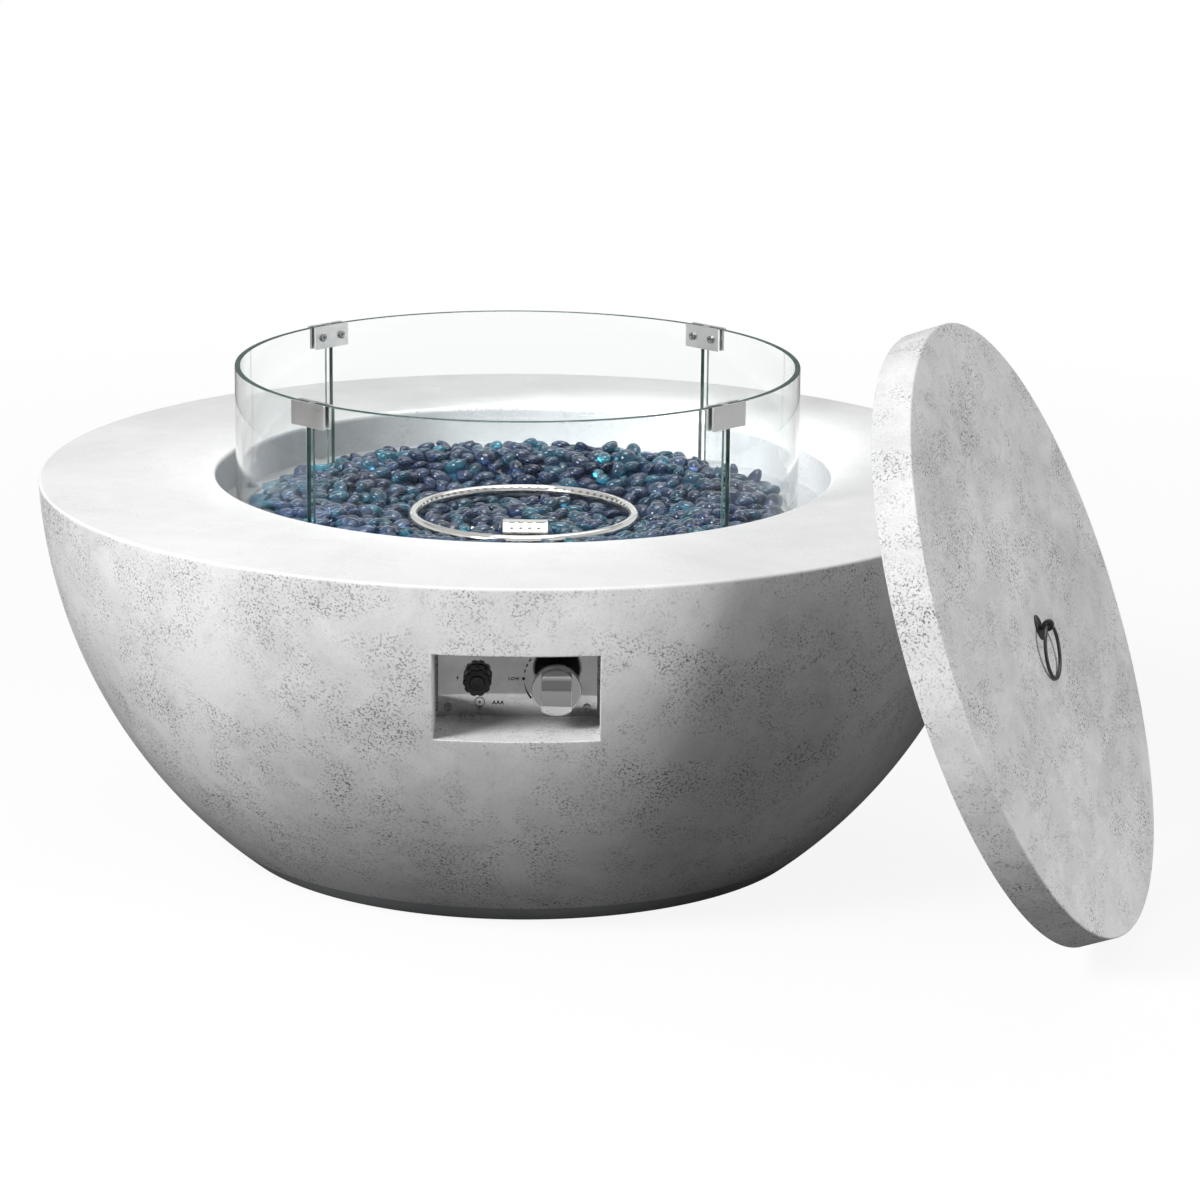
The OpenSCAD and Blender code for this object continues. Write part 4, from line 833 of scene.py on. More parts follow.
# ---- burner ----
class FIREBOWL_OT_burner(bpy.types.Operator):
    """Makes the ring burner with its gas ports, and finishes the pan and the igniter shield"""

    bl_idname = "firebowl.burner"
    bl_label = "Burner, pan and shield"
    port_reach = 0.0018

    def execute(self, context):
        s = context.scene.fire_bowl.burner
        self.ring(s)
        machined("burner_pan", 0.0003)
        self.shield(s)
        machined("electrode_sleeve", 0.0004)
        machined("shield_screws", 0.0003)
        return {"FINISHED"}

    def ring(self, s):
        """The ring, its crossbar, risers and hub."""
        bm = bmesh.new()
        ring_z = RING_HIGH.z - s.tube_radius
        round_steps = 32
        angles = [math.pi / 2 + s.port_lean + FULL_TURN / round_steps * (k + 0.5) for k in range(round_steps)]
        section = [(s.ring_radius + s.tube_radius * math.cos(angle), ring_z + s.tube_radius * math.sin(angle))
                   for angle in angles]
        revolve(bm, section, s.ports * 4)
        merge(bm)
        self.drill(bm, s, ring_z)
        low = ring_z - s.crossbar_drop
        for side in (-1, 1):
            rod(bm, s.riser_radius, s.crossbar_drop,
                Matrix.Translation((side * s.ring_radius, 0.0, (ring_z + low) / 2)))
        rod(bm, s.tube_radius, 2 * RING_HIGH.x,
            Matrix.Translation((0.0, 0.0, low)) @ Matrix.Rotation(math.pi / 2, 4, "Y"))
        hub_top = low + s.tube_radius + 0.002
        hub = rounded([(0.0, RING_LOW.z), (s.hub_radius, RING_LOW.z, 0.001),
                       (s.hub_radius, hub_top, 0.002), (0.0, hub_top)])
        revolve(bm, hub, 48, loop=False)
        piece("ring_burner_tube", bm, "bowl", "burner_steel", ["ring_burner"], 40.0)

    def drill(self, bm, s, ring_z):
        """Sinks the gas ports into the inner upper side of the ring."""
        angle = math.pi / 2 + s.port_lean
        inward = Vector((math.cos(angle), 0.0, math.sin(angle)))
        for k in range(s.ports):
            turn = Matrix.Rotation(FULL_TURN * (k + 0.5) / s.ports, 4, "Z")
            middle = turn @ (Vector((s.ring_radius, 0.0, ring_z)) + inward * s.tube_radius)
            picked = [f for f in bm.faces if (f.calc_center_median() - middle).length < self.port_reach]
            if not picked:
                continue
            joined = bmesh.ops.dissolve_faces(bm, faces=picked, use_verts=False)["region"]
            bmesh.ops.inset_region(bm, faces=joined, thickness=s.port_rim, use_even_offset=True)
            grown = bmesh.ops.extrude_discrete_faces(bm, faces=joined)["faces"]
            bmesh.ops.translate(bm, vec=(turn @ -inward) * s.port_deep,
                                verts=list({v for f in grown for v in f.verts}))

    def shield(self, s):
        """The perforated shield, with four flutes pressed into its sloping face."""
        width = (SHIELD_HIGH.x - SHIELD_LOW.x) - s.shield_flange
        middle = (SHIELD_LOW.x + SHIELD_HIGH.x) / 2
        ridge = SHIELD_LOW.y + s.shield_slope
        front, back = ridge - 0.0115, ridge + 0.0035
        flutes = [middle + width / 5 * k for k in (-1.5, -0.5, 0.5, 1.5)]

        def slope(face):
            c = face.calc_center_median()
            return face.normal.z > 0.5 and c.z > SHIELD_HIGH.z - s.shield_fall - 0.001

        def edit(bm):
            bounds = [(0, x + side * s.flute_half) for x in flutes for side in (-1, 1)]
            for axis, bound in bounds + [(1, front), (1, back)]:
                cut_across(bm, [f for f in bm.faces if slope(f)], axis, bound)
            for x in flutes:
                picked = []
                for f in bm.faces:
                    c = f.calc_center_median()
                    if slope(f) and abs(c.x - x) < s.flute_half and front < c.y < back:
                        picked.append(f)
                grown = bmesh.ops.extrude_face_region(bm, geom=picked)["geom"]
                bmesh.ops.delete(bm, geom=[f for f in picked if f.is_valid], context="FACES")
                verts = [v for v in grown if isinstance(v, bmesh.types.BMVert)]
                bmesh.ops.translate(bm, vec=(0.0, 0.0, -s.flute_deep), verts=verts)

        machined("igniter_shield", 0.0003, edit)


# ---- loose fire glass ----
class FIREBOWL_OT_fire_glass(bpy.types.Operator):
    """Heaps tumbled glass on the pan, piece by piece, and lays the bed below it, painted dark as painted
    shade
    """

    bl_idname = "firebowl.fire_glass"
    bl_label = "Fire glass"
    cell = 0.004
    half_cells = 78
    scatter_radius = 0.300
    guard_inside = 0.3035
    bed_sunk = 0.021
    places_tried = 12

    def execute(self, context):
        settings = context.scene.fire_bowl
        s = settings.glass
        self.draw = random.Random(s.seed)
        self.burner = settings.burner
        self.edge = settings.bowl.pan_hole
        cells = range(-self.half_cells, self.half_cells + 1)
        self.pile = [[self.wanted(s, math.hypot(i, j) * self.cell) - self.bed_sunk for j in cells]
                     for i in cells]
        kinds = [("navy", s.navy, 0.60, 0.38), ("teal", s.teal, 0.65, 0.30),
                 ("lilac", s.lilac, 0.65, 0.20), ("turquoise", s.turquoise, 0.80, 0.12)]
        meshes = {name: bmesh.new() for name, _, _, _ in kinds}
        names = [name for name, _, _, share in kinds for _ in range(round(share * 100))]
        pieces = self.big_pieces(s)
        for _ in range(s.pieces):
            dropped = self.drop(s)
            if dropped:
                pieces.append(dropped)
        for middle, turn, halves in pieces:
            self.pebble(meshes[self.draw.choice(names)], middle, turn, halves)
        for name, base, depth, _ in kinds:
            look = tumbled_glass("fire_glass_" + name, base, depth)
            piece("fire_glass_" + name, meshes[name], "bowl", "fire_glass", smooth=180.0, looks=[look],
                  even=False)
        self.bed(s)
        return {"FINISHED"}

    def wanted(self, s, radius):
        """Height that the glass is heaped to at a radius."""
        ring = self.burner.ring_radius
        if radius < ring + 0.004:
            return s.middle
        if radius < s.crest_radius:
            share = (radius - ring) / (s.crest_radius - ring)
            return s.middle + (s.crest - s.middle) * min(1.0, share * 1.2) ** 1.1
        share = (radius - s.crest_radius) / (self.edge + 0.005 - s.crest_radius)
        return s.crest + (s.rim - s.crest) * min(1.0, share) ** 1.6

    def clear(self, x, y, reach):
        """True if a piece here stays off the ring, the shield and the glass guard."""
        if abs(math.hypot(x, y) - self.burner.ring_radius) < self.burner.tube_radius + reach * 0.68:
            return False
        if math.hypot(x - (GUARD_LOW.x + GUARD_HIGH.x) / 2, y) > self.guard_inside - reach * 0.9:
            return False
        beside = (SHIELD_LOW.x - reach * 0.6 < x < SHIELD_HIGH.x + reach * 0.6
                  and SHIELD_LOW.y - reach * 0.8 < y < SHIELD_HIGH.y + reach * 0.8)
        return not beside

    def footprint(self, x, y, reach):
        """Cells that a piece covers, with their distance from its middle."""
        first_i, last_i = (self.nearest_cell(x + side * reach) for side in (-1, 1))
        first_j, last_j = (self.nearest_cell(y + side * reach) for side in (-1, 1))
        for i in range(first_i, last_i + 1):
            for j in range(first_j, last_j + 1):
                away = math.hypot((i - self.half_cells) * self.cell - x,
                                  (j - self.half_cells) * self.cell - y)
                if away <= reach:
                    yield i, j, away

    def nearest_cell(self, value):
        return max(0, min(2 * self.half_cells, round(value / self.cell) + self.half_cells))

    def settle(self, x, y, z, halves):
        """Adds a piece's top to the pile."""
        reach = (halves.x + halves.y) / 2
        for i, j, away in self.footprint(x, y, reach):
            top = z + halves.z * math.sqrt(max(0.0, 1.0 - (away / reach) ** 2)) * 0.9
            self.pile[i][j] = max(self.pile[i][j], top)

    def big_pieces(self, s):
        """The big pieces that stand out of the bed, along a spiral."""
        inner = self.burner.ring_radius + self.burner.tube_radius + s.big_half + 0.003
        outer = self.edge + 0.002 - s.big_half
        found = []
        for k in range(s.big_count):
            share = (k + 0.5) / s.big_count
            radius = math.sqrt(inner ** 2 * (1 - share) + outer ** 2 * share)
            angle = math.radians(137.508 * k)
            size = s.big_half * (0.86 + 0.14 * math.sin(math.radians(71 * k)))
            halves = Vector((size, size * 0.72, size * 0.48))
            x, y = radius * math.cos(angle), radius * math.sin(angle)
            if not self.clear(x, y, size):
                continue
            z = self.wanted(s, radius) - halves.z * 0.8
            self.settle(x, y, z, halves)
            turn = (Matrix.Rotation(angle + math.radians(53 * k), 4, "Z")
                    @ Matrix.Rotation(math.radians(7) * math.cos(math.radians(59 * k)), 4, "Y")
                    @ Matrix.Rotation(math.radians(7) * math.sin(math.radians(113 * k)), 4, "X"))
            found.append((Vector((x, y, z)), turn, halves))
        return found

    def drop(self, s):
        """Lets one piece come to rest where the pile is lowest among a few places."""
        size = s.long_half * self.draw.uniform(0.70, 1.22)
        halves = Vector((size, size * self.draw.uniform(0.58, 0.86), size * self.draw.uniform(0.40, 0.60)))
        best = None
        for _ in range(self.places_tried):
            radius = self.scatter_radius * math.sqrt(self.draw.random())
            angle = self.draw.uniform(0.0, FULL_TURN)
            x, y = radius * math.cos(angle), radius * math.sin(angle)
            if not self.clear(x, y, size):
                continue
            ground = sorted(self.pile[i][j] for i, j, _ in self.footprint(x, y, size * 0.75))
            top_third = ground[-max(1, len(ground) // 3):]
            rest = sum(top_third) / len(top_third)
            room = self.wanted(s, radius) - rest
            if best is None or room > best[0]:
                best = (room, x, y, rest)
        if best is None or best[0] < halves.z * 0.9:
            return None
        _, x, y, rest = best
        z = rest + halves.z * 0.78
        self.settle(x, y, z, halves)
        tilt = Matrix.Rotation(self.draw.gauss(0.0, 0.34), 4, "X")
        tip = Matrix.Rotation(self.draw.gauss(0.0, 0.26), 4, "Y")
        spin = Matrix.Rotation(self.draw.uniform(0.0, math.pi), 4, "Z")
        return Vector((x, y, z)), spin @ tip @ tilt, halves

    def pebble(self, heap, middle, turn, halves):
        """One tumbled piece: a ball that is flattened, made blocky and dented at random."""
        bm = bmesh.new()
        bmesh.ops.create_icosphere(bm, subdivisions=2, radius=1.0)
        seed = Vector([self.draw.uniform(-50, 50) for _ in range(3)])
        blocky = self.draw.uniform(0.02, 0.22)
        for vert in bm.verts:
            way = vert.co.normalized()
            square = 1.0 / max(abs(way.x), abs(way.y), abs(way.z))
            swell = (1.0 - blocky) + blocky * square * 0.86 + 0.12 * noise.noise(way * 0.9 + seed)
            vert.co = middle + turn @ (way * swell * halves)
        mesh = bpy.data.meshes.new("one_piece")
        bm.to_mesh(mesh)
        bm.free()
        heap.from_mesh(mesh)
        bpy.data.meshes.remove(mesh)

    def bed(self, s):
        """The mass of glass under the loose pieces, painted darker than the loose glass as painted shade deep
        in the pile.
        """
        bm = bmesh.new()
        edge = self.edge - 0.0045
        floor = PAN_LOW.z + 0.0018
        corners = [(0.0, floor), (edge, floor)]
        corners += [(r, self.wanted(s, r) - 0.013) for r in spread(edge, 0.0, 40)]
        revolve(bm, [Vector(c) for c in corners], 120, loop=False)
        # painted shade: the glass below takes the navy 40 % darker, standing in for shade deep in the pile
        look = tumbled_glass("fire_glass_below", darker(s.navy, 0.4), 0.0)
        piece("fire_glass_below", bm, "bowl", "fire_glass", ["fire_glass_bed"], 60.0, looks=[look])


# ---- wind guard ----
class FIREBOWL_OT_guard(bpy.types.Operator):
    """Makes the four curved glass panels and the clamps that join them"""

    bl_idname = "firebowl.guard"
    bl_label = "Wind guard"

    def execute(self, context):
        s = context.scene.fire_bowl.guard
        middle = (GUARD_LOW + GUARD_HIGH) / 2
        outer = (GUARD_HIGH.x - GUARD_LOW.x) / 2
        inner = outer - s.glass
        half_gap = math.asin(s.gap / 2 / inner)
        looks = [clear_glass("guard_glass", s), glass_edge("guard_glass_edge", s)]
        section = rounded([(inner, GUARD_LOW.z, s.edge_round), (outer, GUARD_LOW.z, s.edge_round),
                           (outer, GUARD_HIGH.z, s.edge_round), (inner, GUARD_HIGH.z, s.edge_round)], 3)
        for name, side in (("front", -90), ("right", 0), ("back", 90), ("left", 180)):
            bm = bmesh.new()
            start = math.radians(side - 45) + s.turn + half_gap
            revolve(bm, section, s.steps, angle=math.pi / 2 - 2 * half_gap, start=start,
                    centre=(middle.x, 0.0, 0.0))
            ends = [e for e in bm.edges if len(e.link_faces) == 1]
            caps = bmesh.ops.edgeloop_fill(bm, edges=ends)["faces"]
            soften(bm, list({e for f in caps for e in f.edges}), s.edge_round * 0.5, 2)
            bmesh.ops.recalc_face_normals(bm, faces=bm.faces[:])
            for face in bm.faces:
                away = face.calc_center_median() - Vector((middle.x, 0.0, 0.0))
                face.material_index = int(abs(face.normal.dot(away.xy.to_3d().normalized())) < 0.75)
            piece("guard_panel_" + name, bm, "wind_guard", "guard_glass", ["glass_" + name], looks=looks)
        for corner in ("front_left", "front_right", "back_right", "back_left"):
            machined("clamp_" + corner, 0.0005)
        machined("clamp_screws", 0.0004)
        machined("clamp_pads", 0.0001)
        return {"FINISHED"}


# ---- controls ----
def spindle(low, high):
    """Radius and depth of a round control, and the place that lays its axis out of the plate."""
    axis = (low + high) / 2
    place = Matrix.Translation((axis.x, high.y, axis.z)) @ UPRIGHT
    return (high.x - low.x) / 2, high.y - low.y, place


class FIREBOWL_OT_controls(bpy.types.Operator):
    """Makes the control plate, the gas knob, the igniter's cap and its button"""

    bl_idname = "firebowl.controls"
    bl_label = "Controls"

    def execute(self, context):
        s = context.scene.fire_bowl.controls
        for node in ("control_plate", "plate_screws", "valve_nut"):
            machined(node, 0.0004)
        machined("igniter_body", 0.0003)
        self.knob(s)
        self.cap(s)
        self.button()
        return {"FINISHED"}

    def knob(self, s):
        """The skirt is turned, and the domed grip bar stands on it."""
        radius, deep, place = spindle(KNOB_LOW, KNOB_HIGH)
        grip = deep - s.skirt_thick
        wall = s.knob_wall
        bm = bmesh.new()
        skirt = rounded([(0.0, s.skirt_thick), (radius, s.skirt_thick, 0.0018), (radius, 0.0, 0.0006),
                         (radius - wall, 0.0, 0.0004), (radius - wall, s.skirt_thick - wall),
                         (0.0, s.skirt_thick - wall)], 6)
        revolve(bm, skirt, 128, loop=False)
        merge(bm)
        top = bmesh.ops.create_grid(bm, x_segments=16, y_segments=36, size=1.0)["verts"]
        for vert in top:
            x = vert.co.x * s.grip_width / 2
            y = vert.co.y * math.sqrt(s.grip_radius ** 2 - x * x)
            drop = s.bulge - math.sqrt(s.bulge ** 2 - y * y)
            vert.co = Vector((x, y, s.skirt_thick + grip - drop))
        rim = list({e for v in top for e in v.link_edges if len(e.link_faces) == 1})
        foot = push(bm, rim, lambda c: Vector((c.x, c.y, s.skirt_thick - wall / 2)))
        bmesh.ops.edgeloop_fill(bm, edges=foot)
        corners = [e for e in bm.edges if len(e.link_faces) == 2 and e.calc_face_angle(0.0) > 0.7
                   and max(v.co.z for v in e.verts) > s.skirt_thick + 0.001]
        soften(bm, corners, 0.0022, 5)
        piece("gas_knob_shell", bm, "knob", "knob_chrome", ["gas_knob"], 40.0, place)

    def cap(self, s):
        """The fluted cap, hollow behind its front, with the button's hole in the middle."""
        radius, deep, place = spindle(CAP_LOW, CAP_HIGH)
        button = (BUTTON_HIGH.x - BUTTON_LOW.x) / 2
        count = s.grooves * 20

        def fluted(angle):
            pitch = FULL_TURN / s.grooves
            off = abs((angle % pitch) - pitch / 2)
            across = s.groove_place * math.sin(off)
            if across >= s.groove_radius:
                return radius
            reach = s.groove_place * math.cos(off) - math.sqrt(s.groove_radius ** 2 - across ** 2)
            return min(radius, reach)

        def ring(height, size, flutes):
            points = []
            for k in range(count):
                angle = FULL_TURN * k / count
                reach = size - (radius - fluted(angle)) * flutes
                points.append(Vector((reach * math.cos(angle), reach * math.sin(angle), height)))
            return points

        bm = bmesh.new()
        stations = [(0.0, radius - 0.0004, 0.0), (0.0004, radius, 0.0), (0.0028, radius, 0.0),
                    (0.0032, radius, 1.0), (deep - 0.0022, radius, 1.0),
                    (deep - 0.0012, radius - 0.0003, 1.0), (deep - 0.0004, radius - 0.0010, 1.0),
                    (deep, radius - 0.0022, 0.9),
                    (deep, button - 0.0008, 0.0), (deep - 0.0006, button - 0.00125, 0.0),
                    (deep - 0.003, button - 0.00125, 0.0), (deep - 0.003, button + 0.0003, 0.0),
                    (deep - 0.010, button + 0.0003, 0.0), (deep - 0.010, s.cap_bore, 0.0),
                    (0.0, s.cap_bore, 0.0)]
        loops = [loop_of(bm, ring(*station)) for station in stations]
        for first, second in zip(loops, loops[1:] + loops[:1]):
            join_loops(bm, first, second)
        piece("igniter_cap_shell", bm, "cap", "black_plastic", ["igniter_cap"], 50.0, place)

    def button(self):
        """The push button, with a shallow dish in its face."""
        flange, deep, place = spindle(BUTTON_LOW, BUTTON_HIGH)
        radius = flange - 0.0013
        thick = 0.00125
        dish = [(radius * 0.8 * (1 - k / 6), deep - 0.0008 * math.sin(math.pi / 2 * k / 6)) for k in range(7)]
        section = rounded([(0.0, 0.0), (flange, 0.0, 0.0003), (flange, thick, 0.0003), (radius, thick),
                           (radius, deep, 0.0008)] + dish)
        bm = bmesh.new()
        revolve(bm, section, 96, loop=False)
        piece("igniter_button_face", bm, "button", "black_plastic", ["igniter_button"], 40.0, place)


class FIREBOWL_OT_marks(bpy.types.Operator):
    """Prints the plain marks on the control plate"""

    bl_idname = "firebowl.marks"
    bl_label = "Marks"

    def execute(self, context):
        s = context.scene.fire_bowl.controls
        self.front = PLATE_LOW.y
        self.thick = s.mark_thick
        ink = moulded("mark_ink", (0.012, 0.012, 0.012), 0.55, 900.0, 0.05)
        knob = (KNOB_LOW + KNOB_HIGH) / 2
        cap = (CAP_LOW + CAP_HIGH) / 2
        bm = bmesh.new()
        self.word(bm, "LOW", knob.x - 0.0495, knob.z - 0.0020, s.mark_height * 0.82)
        self.word(bm, "AAA", cap.x + 0.0152, cap.z - 0.0277, s.mark_height)
        self.flat(bm, circle(0.0017, 24, lambda a, b: (knob.x - 0.0340 + a, knob.z - 0.0004 + b)))
        self.arc(bm, knob, s.dial_radius, 189, 219, 0.0004, 0.0022)
        for k in range(5):
            start = 170 - 11 * k
            wide = 0.0012 + 0.0002 * k
            self.arc(bm, knob, s.dial_radius, start, start - 6, wide, wide + 0.0002)
        cell = Vector((cap.x + 0.0022, 0.0, knob.z - 0.0254))
        nearly_round = math.degrees(FULL_TURN - 0.001)
        self.arc(bm, cell, 0.0050, 0.0, nearly_round, 0.0008, 0.0008)
        self.flat(bm, circle(0.0011, 20, lambda a, b: (cell.x + a, cell.z + b)))
        plus = Vector((cell.x, 0.0, cell.z - 0.0066))
        self.arc(bm, plus, 0.0024, 0.0, nearly_round, 0.0005, 0.0005)
        for w, h in ((0.0014, 0.0004), (0.0004, 0.0014)):
            self.flat(bm, [(plus.x - w, plus.z - h), (plus.x + w, plus.z - h),
                           (plus.x + w, plus.z + h), (plus.x - w, plus.z + h)])
        bolt = [(0.0012, 0.0036), (-0.0016, -0.0004), (-0.0001, -0.0004), (-0.0012, -0.0036),
                (0.0016, 0.0006), (0.0001, 0.0006)]
        self.flat(bm, [(cap.x - 0.0205 + x, cap.z + z) for x, z in bolt])
        piece("plate_marks", bm, "bowl", "black_plastic", looks=[ink])
        return {"FINISHED"}

    def flat(self, bm, outline):
        """One printed shape, from its outline on the plate."""
        verts = [bm.verts.new((x, self.front - self.thick * 0.05, z)) for x, z in outline]
        face = bm.faces.new(verts)
        grown = bmesh.ops.extrude_face_region(bm, geom=[face])["geom"]
        bmesh.ops.translate(bm, vec=(0.0, -self.thick, 0.0),
                            verts=[v for v in grown if isinstance(v, bmesh.types.BMVert)])

    def arc(self, bm, middle, radius, start, end, first, last):
        """A stroke along an arc from start to end in degrees, whose width goes from first to last."""
        start, end = math.radians(start), math.radians(end)
        steps = max(4, int(abs(end - start) / 0.08))
        outer, inner = [], []
        for k in range(steps + 1):
            angle = start + (end - start) * k / steps
            half = (first + (last - first) * k / steps) / 2
            way = Vector((math.cos(angle), math.sin(angle)))
            outer.append((middle.x + way.x * (radius + half), middle.z + way.y * (radius + half)))
            inner.append((middle.x + way.x * (radius - half), middle.z + way.y * (radius - half)))
        for k in range(steps):
            self.flat(bm, [outer[k], outer[k + 1], inner[k + 1], inner[k]])

    def word(self, bm, text, x, z, height):
        """A short word in the plain built-in letters."""
        curve = bpy.data.curves.new("mark_" + text, "FONT")
        curve.body = text
        curve.size = height * 1.35
        curve.space_character = 1.15
        curve.extrude = self.thick / 2
        curve.offset = height * 0.055
        curve.resolution_u = 3
        holder = bpy.data.objects.new("mark_" + text, curve)
        bpy.context.scene.collection.objects.link(holder)
        mesh = bpy.data.meshes.new_from_object(holder)
        mesh.transform(Matrix.Translation((x, self.front - self.thick / 2, z)) @ UPRIGHT)
        bm.from_mesh(mesh)
        bpy.data.objects.remove(holder)


# ---- lid ----
def lid_place(s):
    """From the lid's own frame, with x level and y up its face, to the model's."""
    turned = Matrix.Rotation(-s.turn, 4, "Z") @ Matrix.Rotation(-s.lean, 4, "Y")
    standing = Matrix(((0.0, 0.0, 1.0), (1.0, 0.0, 0.0), (0.0, 1.0, 0.0))).to_4x4()
    both = turned @ standing
    face_out = both.to_3x3() @ Vector((0.0, 0.0, 1.0))
    middle = (LID_BACK_LOW + LID_BACK_HIGH) / 2 - face_out * s.back / 2
    return Matrix.Translation(middle) @ both


class FIREBOWL_OT_lid(bpy.types.Operator):
    """Makes the concrete lid, its back panel and its ring handle"""

    bl_idname = "firebowl.lid"
    bl_label = "Lid"

    def execute(self, context):
        settings = context.scene.fire_bowl
        s = settings.lid
        place = lid_place(s)
        look = concrete("lid_concrete", settings.concrete, streaks=True)
        bm = bmesh.new()
        inner = s.radius - s.skin
        under = s.thick - s.skin
        section = rounded([(s.radius, 0.0, 0.0015), (s.radius, s.thick, s.edge_round),
                           (s.radius * 0.5, s.thick), (s.bolt_radius, s.thick, 0.0004),
                           (s.bolt_radius, under), (s.radius * 0.5, under), (inner, under),
                           (inner, 0.0, 0.001)])
        revolve(bm, section, 240)
        piece("lid_concrete_shell", bm, "lid", "lid_concrete", ["lid_shell"], 40.0, place, [look])
        bm = bmesh.new()
        edge = inner - 0.0003
        revolve(bm, rounded([(edge, 0.0, 0.0008), (edge, s.back, 0.0004), (s.pocket_radius, s.back),
                             (s.pocket_radius, 0.0, 0.0006)]), 200)
        piece("lid_back_sheet", bm, "lid", "lid_concrete", ["lid_back_panel"], 40.0, place, [look])
        machined("handle_plate", 0.0006)
        machined("handle_eye", 0.0006)
        self.ring(s, place)
        return {"FINISHED"}

    def ring(self, s, place):
        """The ring handle hangs in its eye, a little off the lid's face."""
        bm = bmesh.new()
        revolve(bm, circle(s.wire_radius, 20, lambda a, b: (s.ring_radius + a, b)), 96)
        hang = (place @ Matrix.Translation((0.0, 0.0, s.thick + s.eye_up))
                @ Matrix.Rotation(s.ring_hang, 4, "X") @ Matrix.Translation((0.0, -s.ring_radius, 0.0)))
        piece("ring_handle_wire", bm, "lid_ring", "black_iron", ["ring_handle"], 60.0, hang)


# ---- pieces that keep their CAD shape ----
class FIREBOWL_OT_kept(bpy.types.Operator):
    """Finishes the gas fittings at the back and gives every other piece its material"""

    bl_idname = "firebowl.kept"
    bl_label = "Fittings and inner pieces"

    def execute(self, context):
        for node, width in (("gas_inlet", 0.0004), ("nipple_nuts", 0.0004), ("handle_nut", 0.0003)):
            machined(node, width)
        slots = {part["node"]: part["material_slot"] for part in frame["record"]["subparts"]}
        for name, node in frame["nodes"].items():
            for holder in () if node.hide_render else node.material_slots:
                holder.material = look_of(slots[name])
        return {"FINISHED"}


# ---- stage ----
# each lamp's name, place, width in metres and power in watts
SOFTBOXES = (
    ("key_softbox", (-2.3, -2.5, 2.6), 1.3, 188.0),
    ("lid_softbox", (3.4, -1.9, 0.9), 1.2, 68.0),
    ("top_softbox", (0.5, 1.4, 3.0), 1.8, 17.0),
)


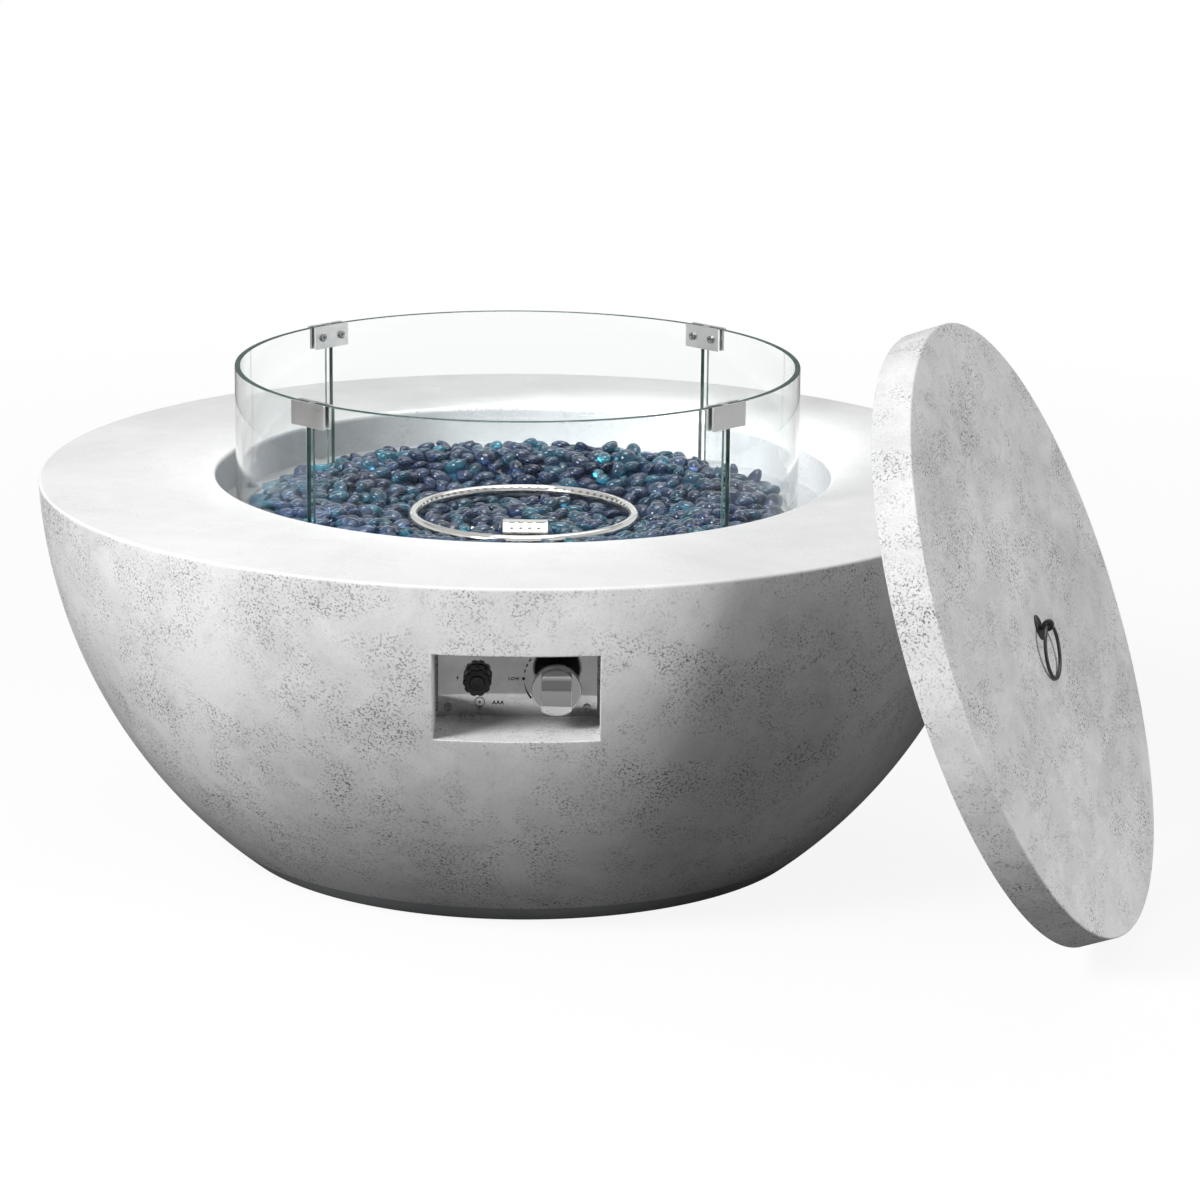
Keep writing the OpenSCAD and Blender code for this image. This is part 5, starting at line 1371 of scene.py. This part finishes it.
class FIREBOWL_OT_stage(bpy.types.Operator):
    """Sets up the camera, the lamps, the pale floor and the white background"""

    bl_idname = "firebowl.stage"
    bl_label = "Stage"

    def execute(self, context):
        s = context.scene.fire_bowl.stage
        context.scene.view_settings.view_transform = "Standard"
        self.camera(context, s)
        self.world(context, s)
        self.floor(context, s)
        for lamp in SOFTBOXES:
            self.lamp(context, *lamp)
        return {"FINISHED"}

    def camera(self, context, s):
        forward = Vector((math.sin(s.yaw) * math.cos(s.pitch), math.cos(s.yaw) * math.cos(s.pitch),
                          -math.sin(s.pitch)))
        right = Vector((math.cos(s.yaw), -math.sin(s.yaw), 0.0))
        up = right.cross(forward)
        level = right * math.cos(s.roll) + up * math.sin(s.roll)
        upward = up * math.cos(s.roll) - right * math.sin(s.roll)
        turned = Matrix((level, upward, -forward)).transposed().to_4x4()
        camera = bpy.data.objects.new("photo_camera", bpy.data.cameras.new("photo_camera"))
        camera.data.lens = s.lens
        camera.data.sensor_width = 36.0
        camera.data.clip_end = 200.0
        camera.matrix_world = Matrix.Translation(s.camera_place) @ turned
        context.scene.collection.objects.link(camera)
        context.scene.camera = camera

    def world(self, context, s):
        """White to the eye and through glass; in gloss it is dark low down and bright overhead."""
        context.scene.world = bpy.data.worlds.new("white_room")
        nodes = Nodes(context.scene.world)
        sky = nodes.tree.nodes["Background"]
        path = nodes.node("LightPath").outputs
        way = nodes.node("TexCoord").outputs["Generated"]
        height = nodes.node("SeparateXYZ", {0: way}).outputs["Z"]
        above = nodes.sum("ADD", nodes.band(height, 0.3, 0.7, 0.1, s.mirrored_sky),
                          nodes.band(height, 0.955, 0.975, 0.0, s.mirrored_top))
        mirrored = nodes.sum("MULTIPLY", path["Is Glossy Ray"], above)
        seen = nodes.sum("MAXIMUM", path["Is Camera Ray"], path["Is Transmission Ray"])
        nodes.feed(sky.inputs["Color"], WHITE)
        nodes.feed(sky.inputs["Strength"], nodes.sum("MAXIMUM", nodes.sum("MAXIMUM", seen, mirrored), s.sky))

    def floor(self, context, s):
        bm = bmesh.new()
        bmesh.ops.create_grid(bm, x_segments=2, y_segments=2, size=s.floor_half,
                              matrix=Matrix.Translation((0.0, 0.0, BOWL_LOW.z - 0.0005)))
        mesh = bpy.data.meshes.new("pale_floor")
        bm.to_mesh(mesh)
        bm.free()
        mesh.materials.append(plain_floor("pale_floor", s))
        floor = bpy.data.objects.new("pale_floor", mesh)
        context.scene.collection.objects.link(floor)

    def lamp(self, context, name, place, size, power):
        """A square softbox that faces the bowl."""
        data = bpy.data.lights.new(name, "AREA")
        data.shape = "SQUARE"
        data.size = size
        data.energy = power
        lamp = bpy.data.objects.new(name, data)
        way = Vector((0.0, 0.0, BOWL_HIGH.z / 2)) - Vector(place)
        lamp.matrix_world = Matrix.Translation(place) @ way.to_track_quat("-Z", "Y").to_matrix().to_4x4()
        context.scene.collection.objects.link(lamp)


class FIREBOWL_PT_panel(bpy.types.Panel):
    """Lists the steps that dress the fire bowl"""

    bl_idname = "FIREBOWL_PT_panel"
    bl_label = "Fire bowl"
    bl_space_type = "VIEW_3D"
    bl_region_type = "UI"
    bl_category = "Fire bowl"

    def draw(self, context):
        for step in STEPS:
            self.layout.operator(step.bl_idname)


GROUPS = (BowlSizes, ConcreteLook, GuardSizes, BurnerSizes, FireGlassLook, LidSizes, ControlSizes,
          StageLook, FireBowl)
STEPS = (FIREBOWL_OT_stage, FIREBOWL_OT_bowl, FIREBOWL_OT_burner, FIREBOWL_OT_fire_glass,
         FIREBOWL_OT_guard, FIREBOWL_OT_controls, FIREBOWL_OT_marks, FIREBOWL_OT_lid, FIREBOWL_OT_kept)


def register():
    for kind in (*GROUPS, *STEPS, FIREBOWL_PT_panel):
        bpy.utils.register_class(kind)
    bpy.types.Scene.fire_bowl = PointerProperty(type=FireBowl)


def unregister():
    del bpy.types.Scene.fire_bowl
    for kind in reversed((*GROUPS, *STEPS, FIREBOWL_PT_panel)):
        bpy.utils.unregister_class(kind)


def main():
    """Dresses the whole object, in order."""
    register()
    for step in STEPS:
        family, name = step.bl_idname.split(".")
        getattr(getattr(bpy.ops, family), name)()


if __name__ == "__main__":
    main()
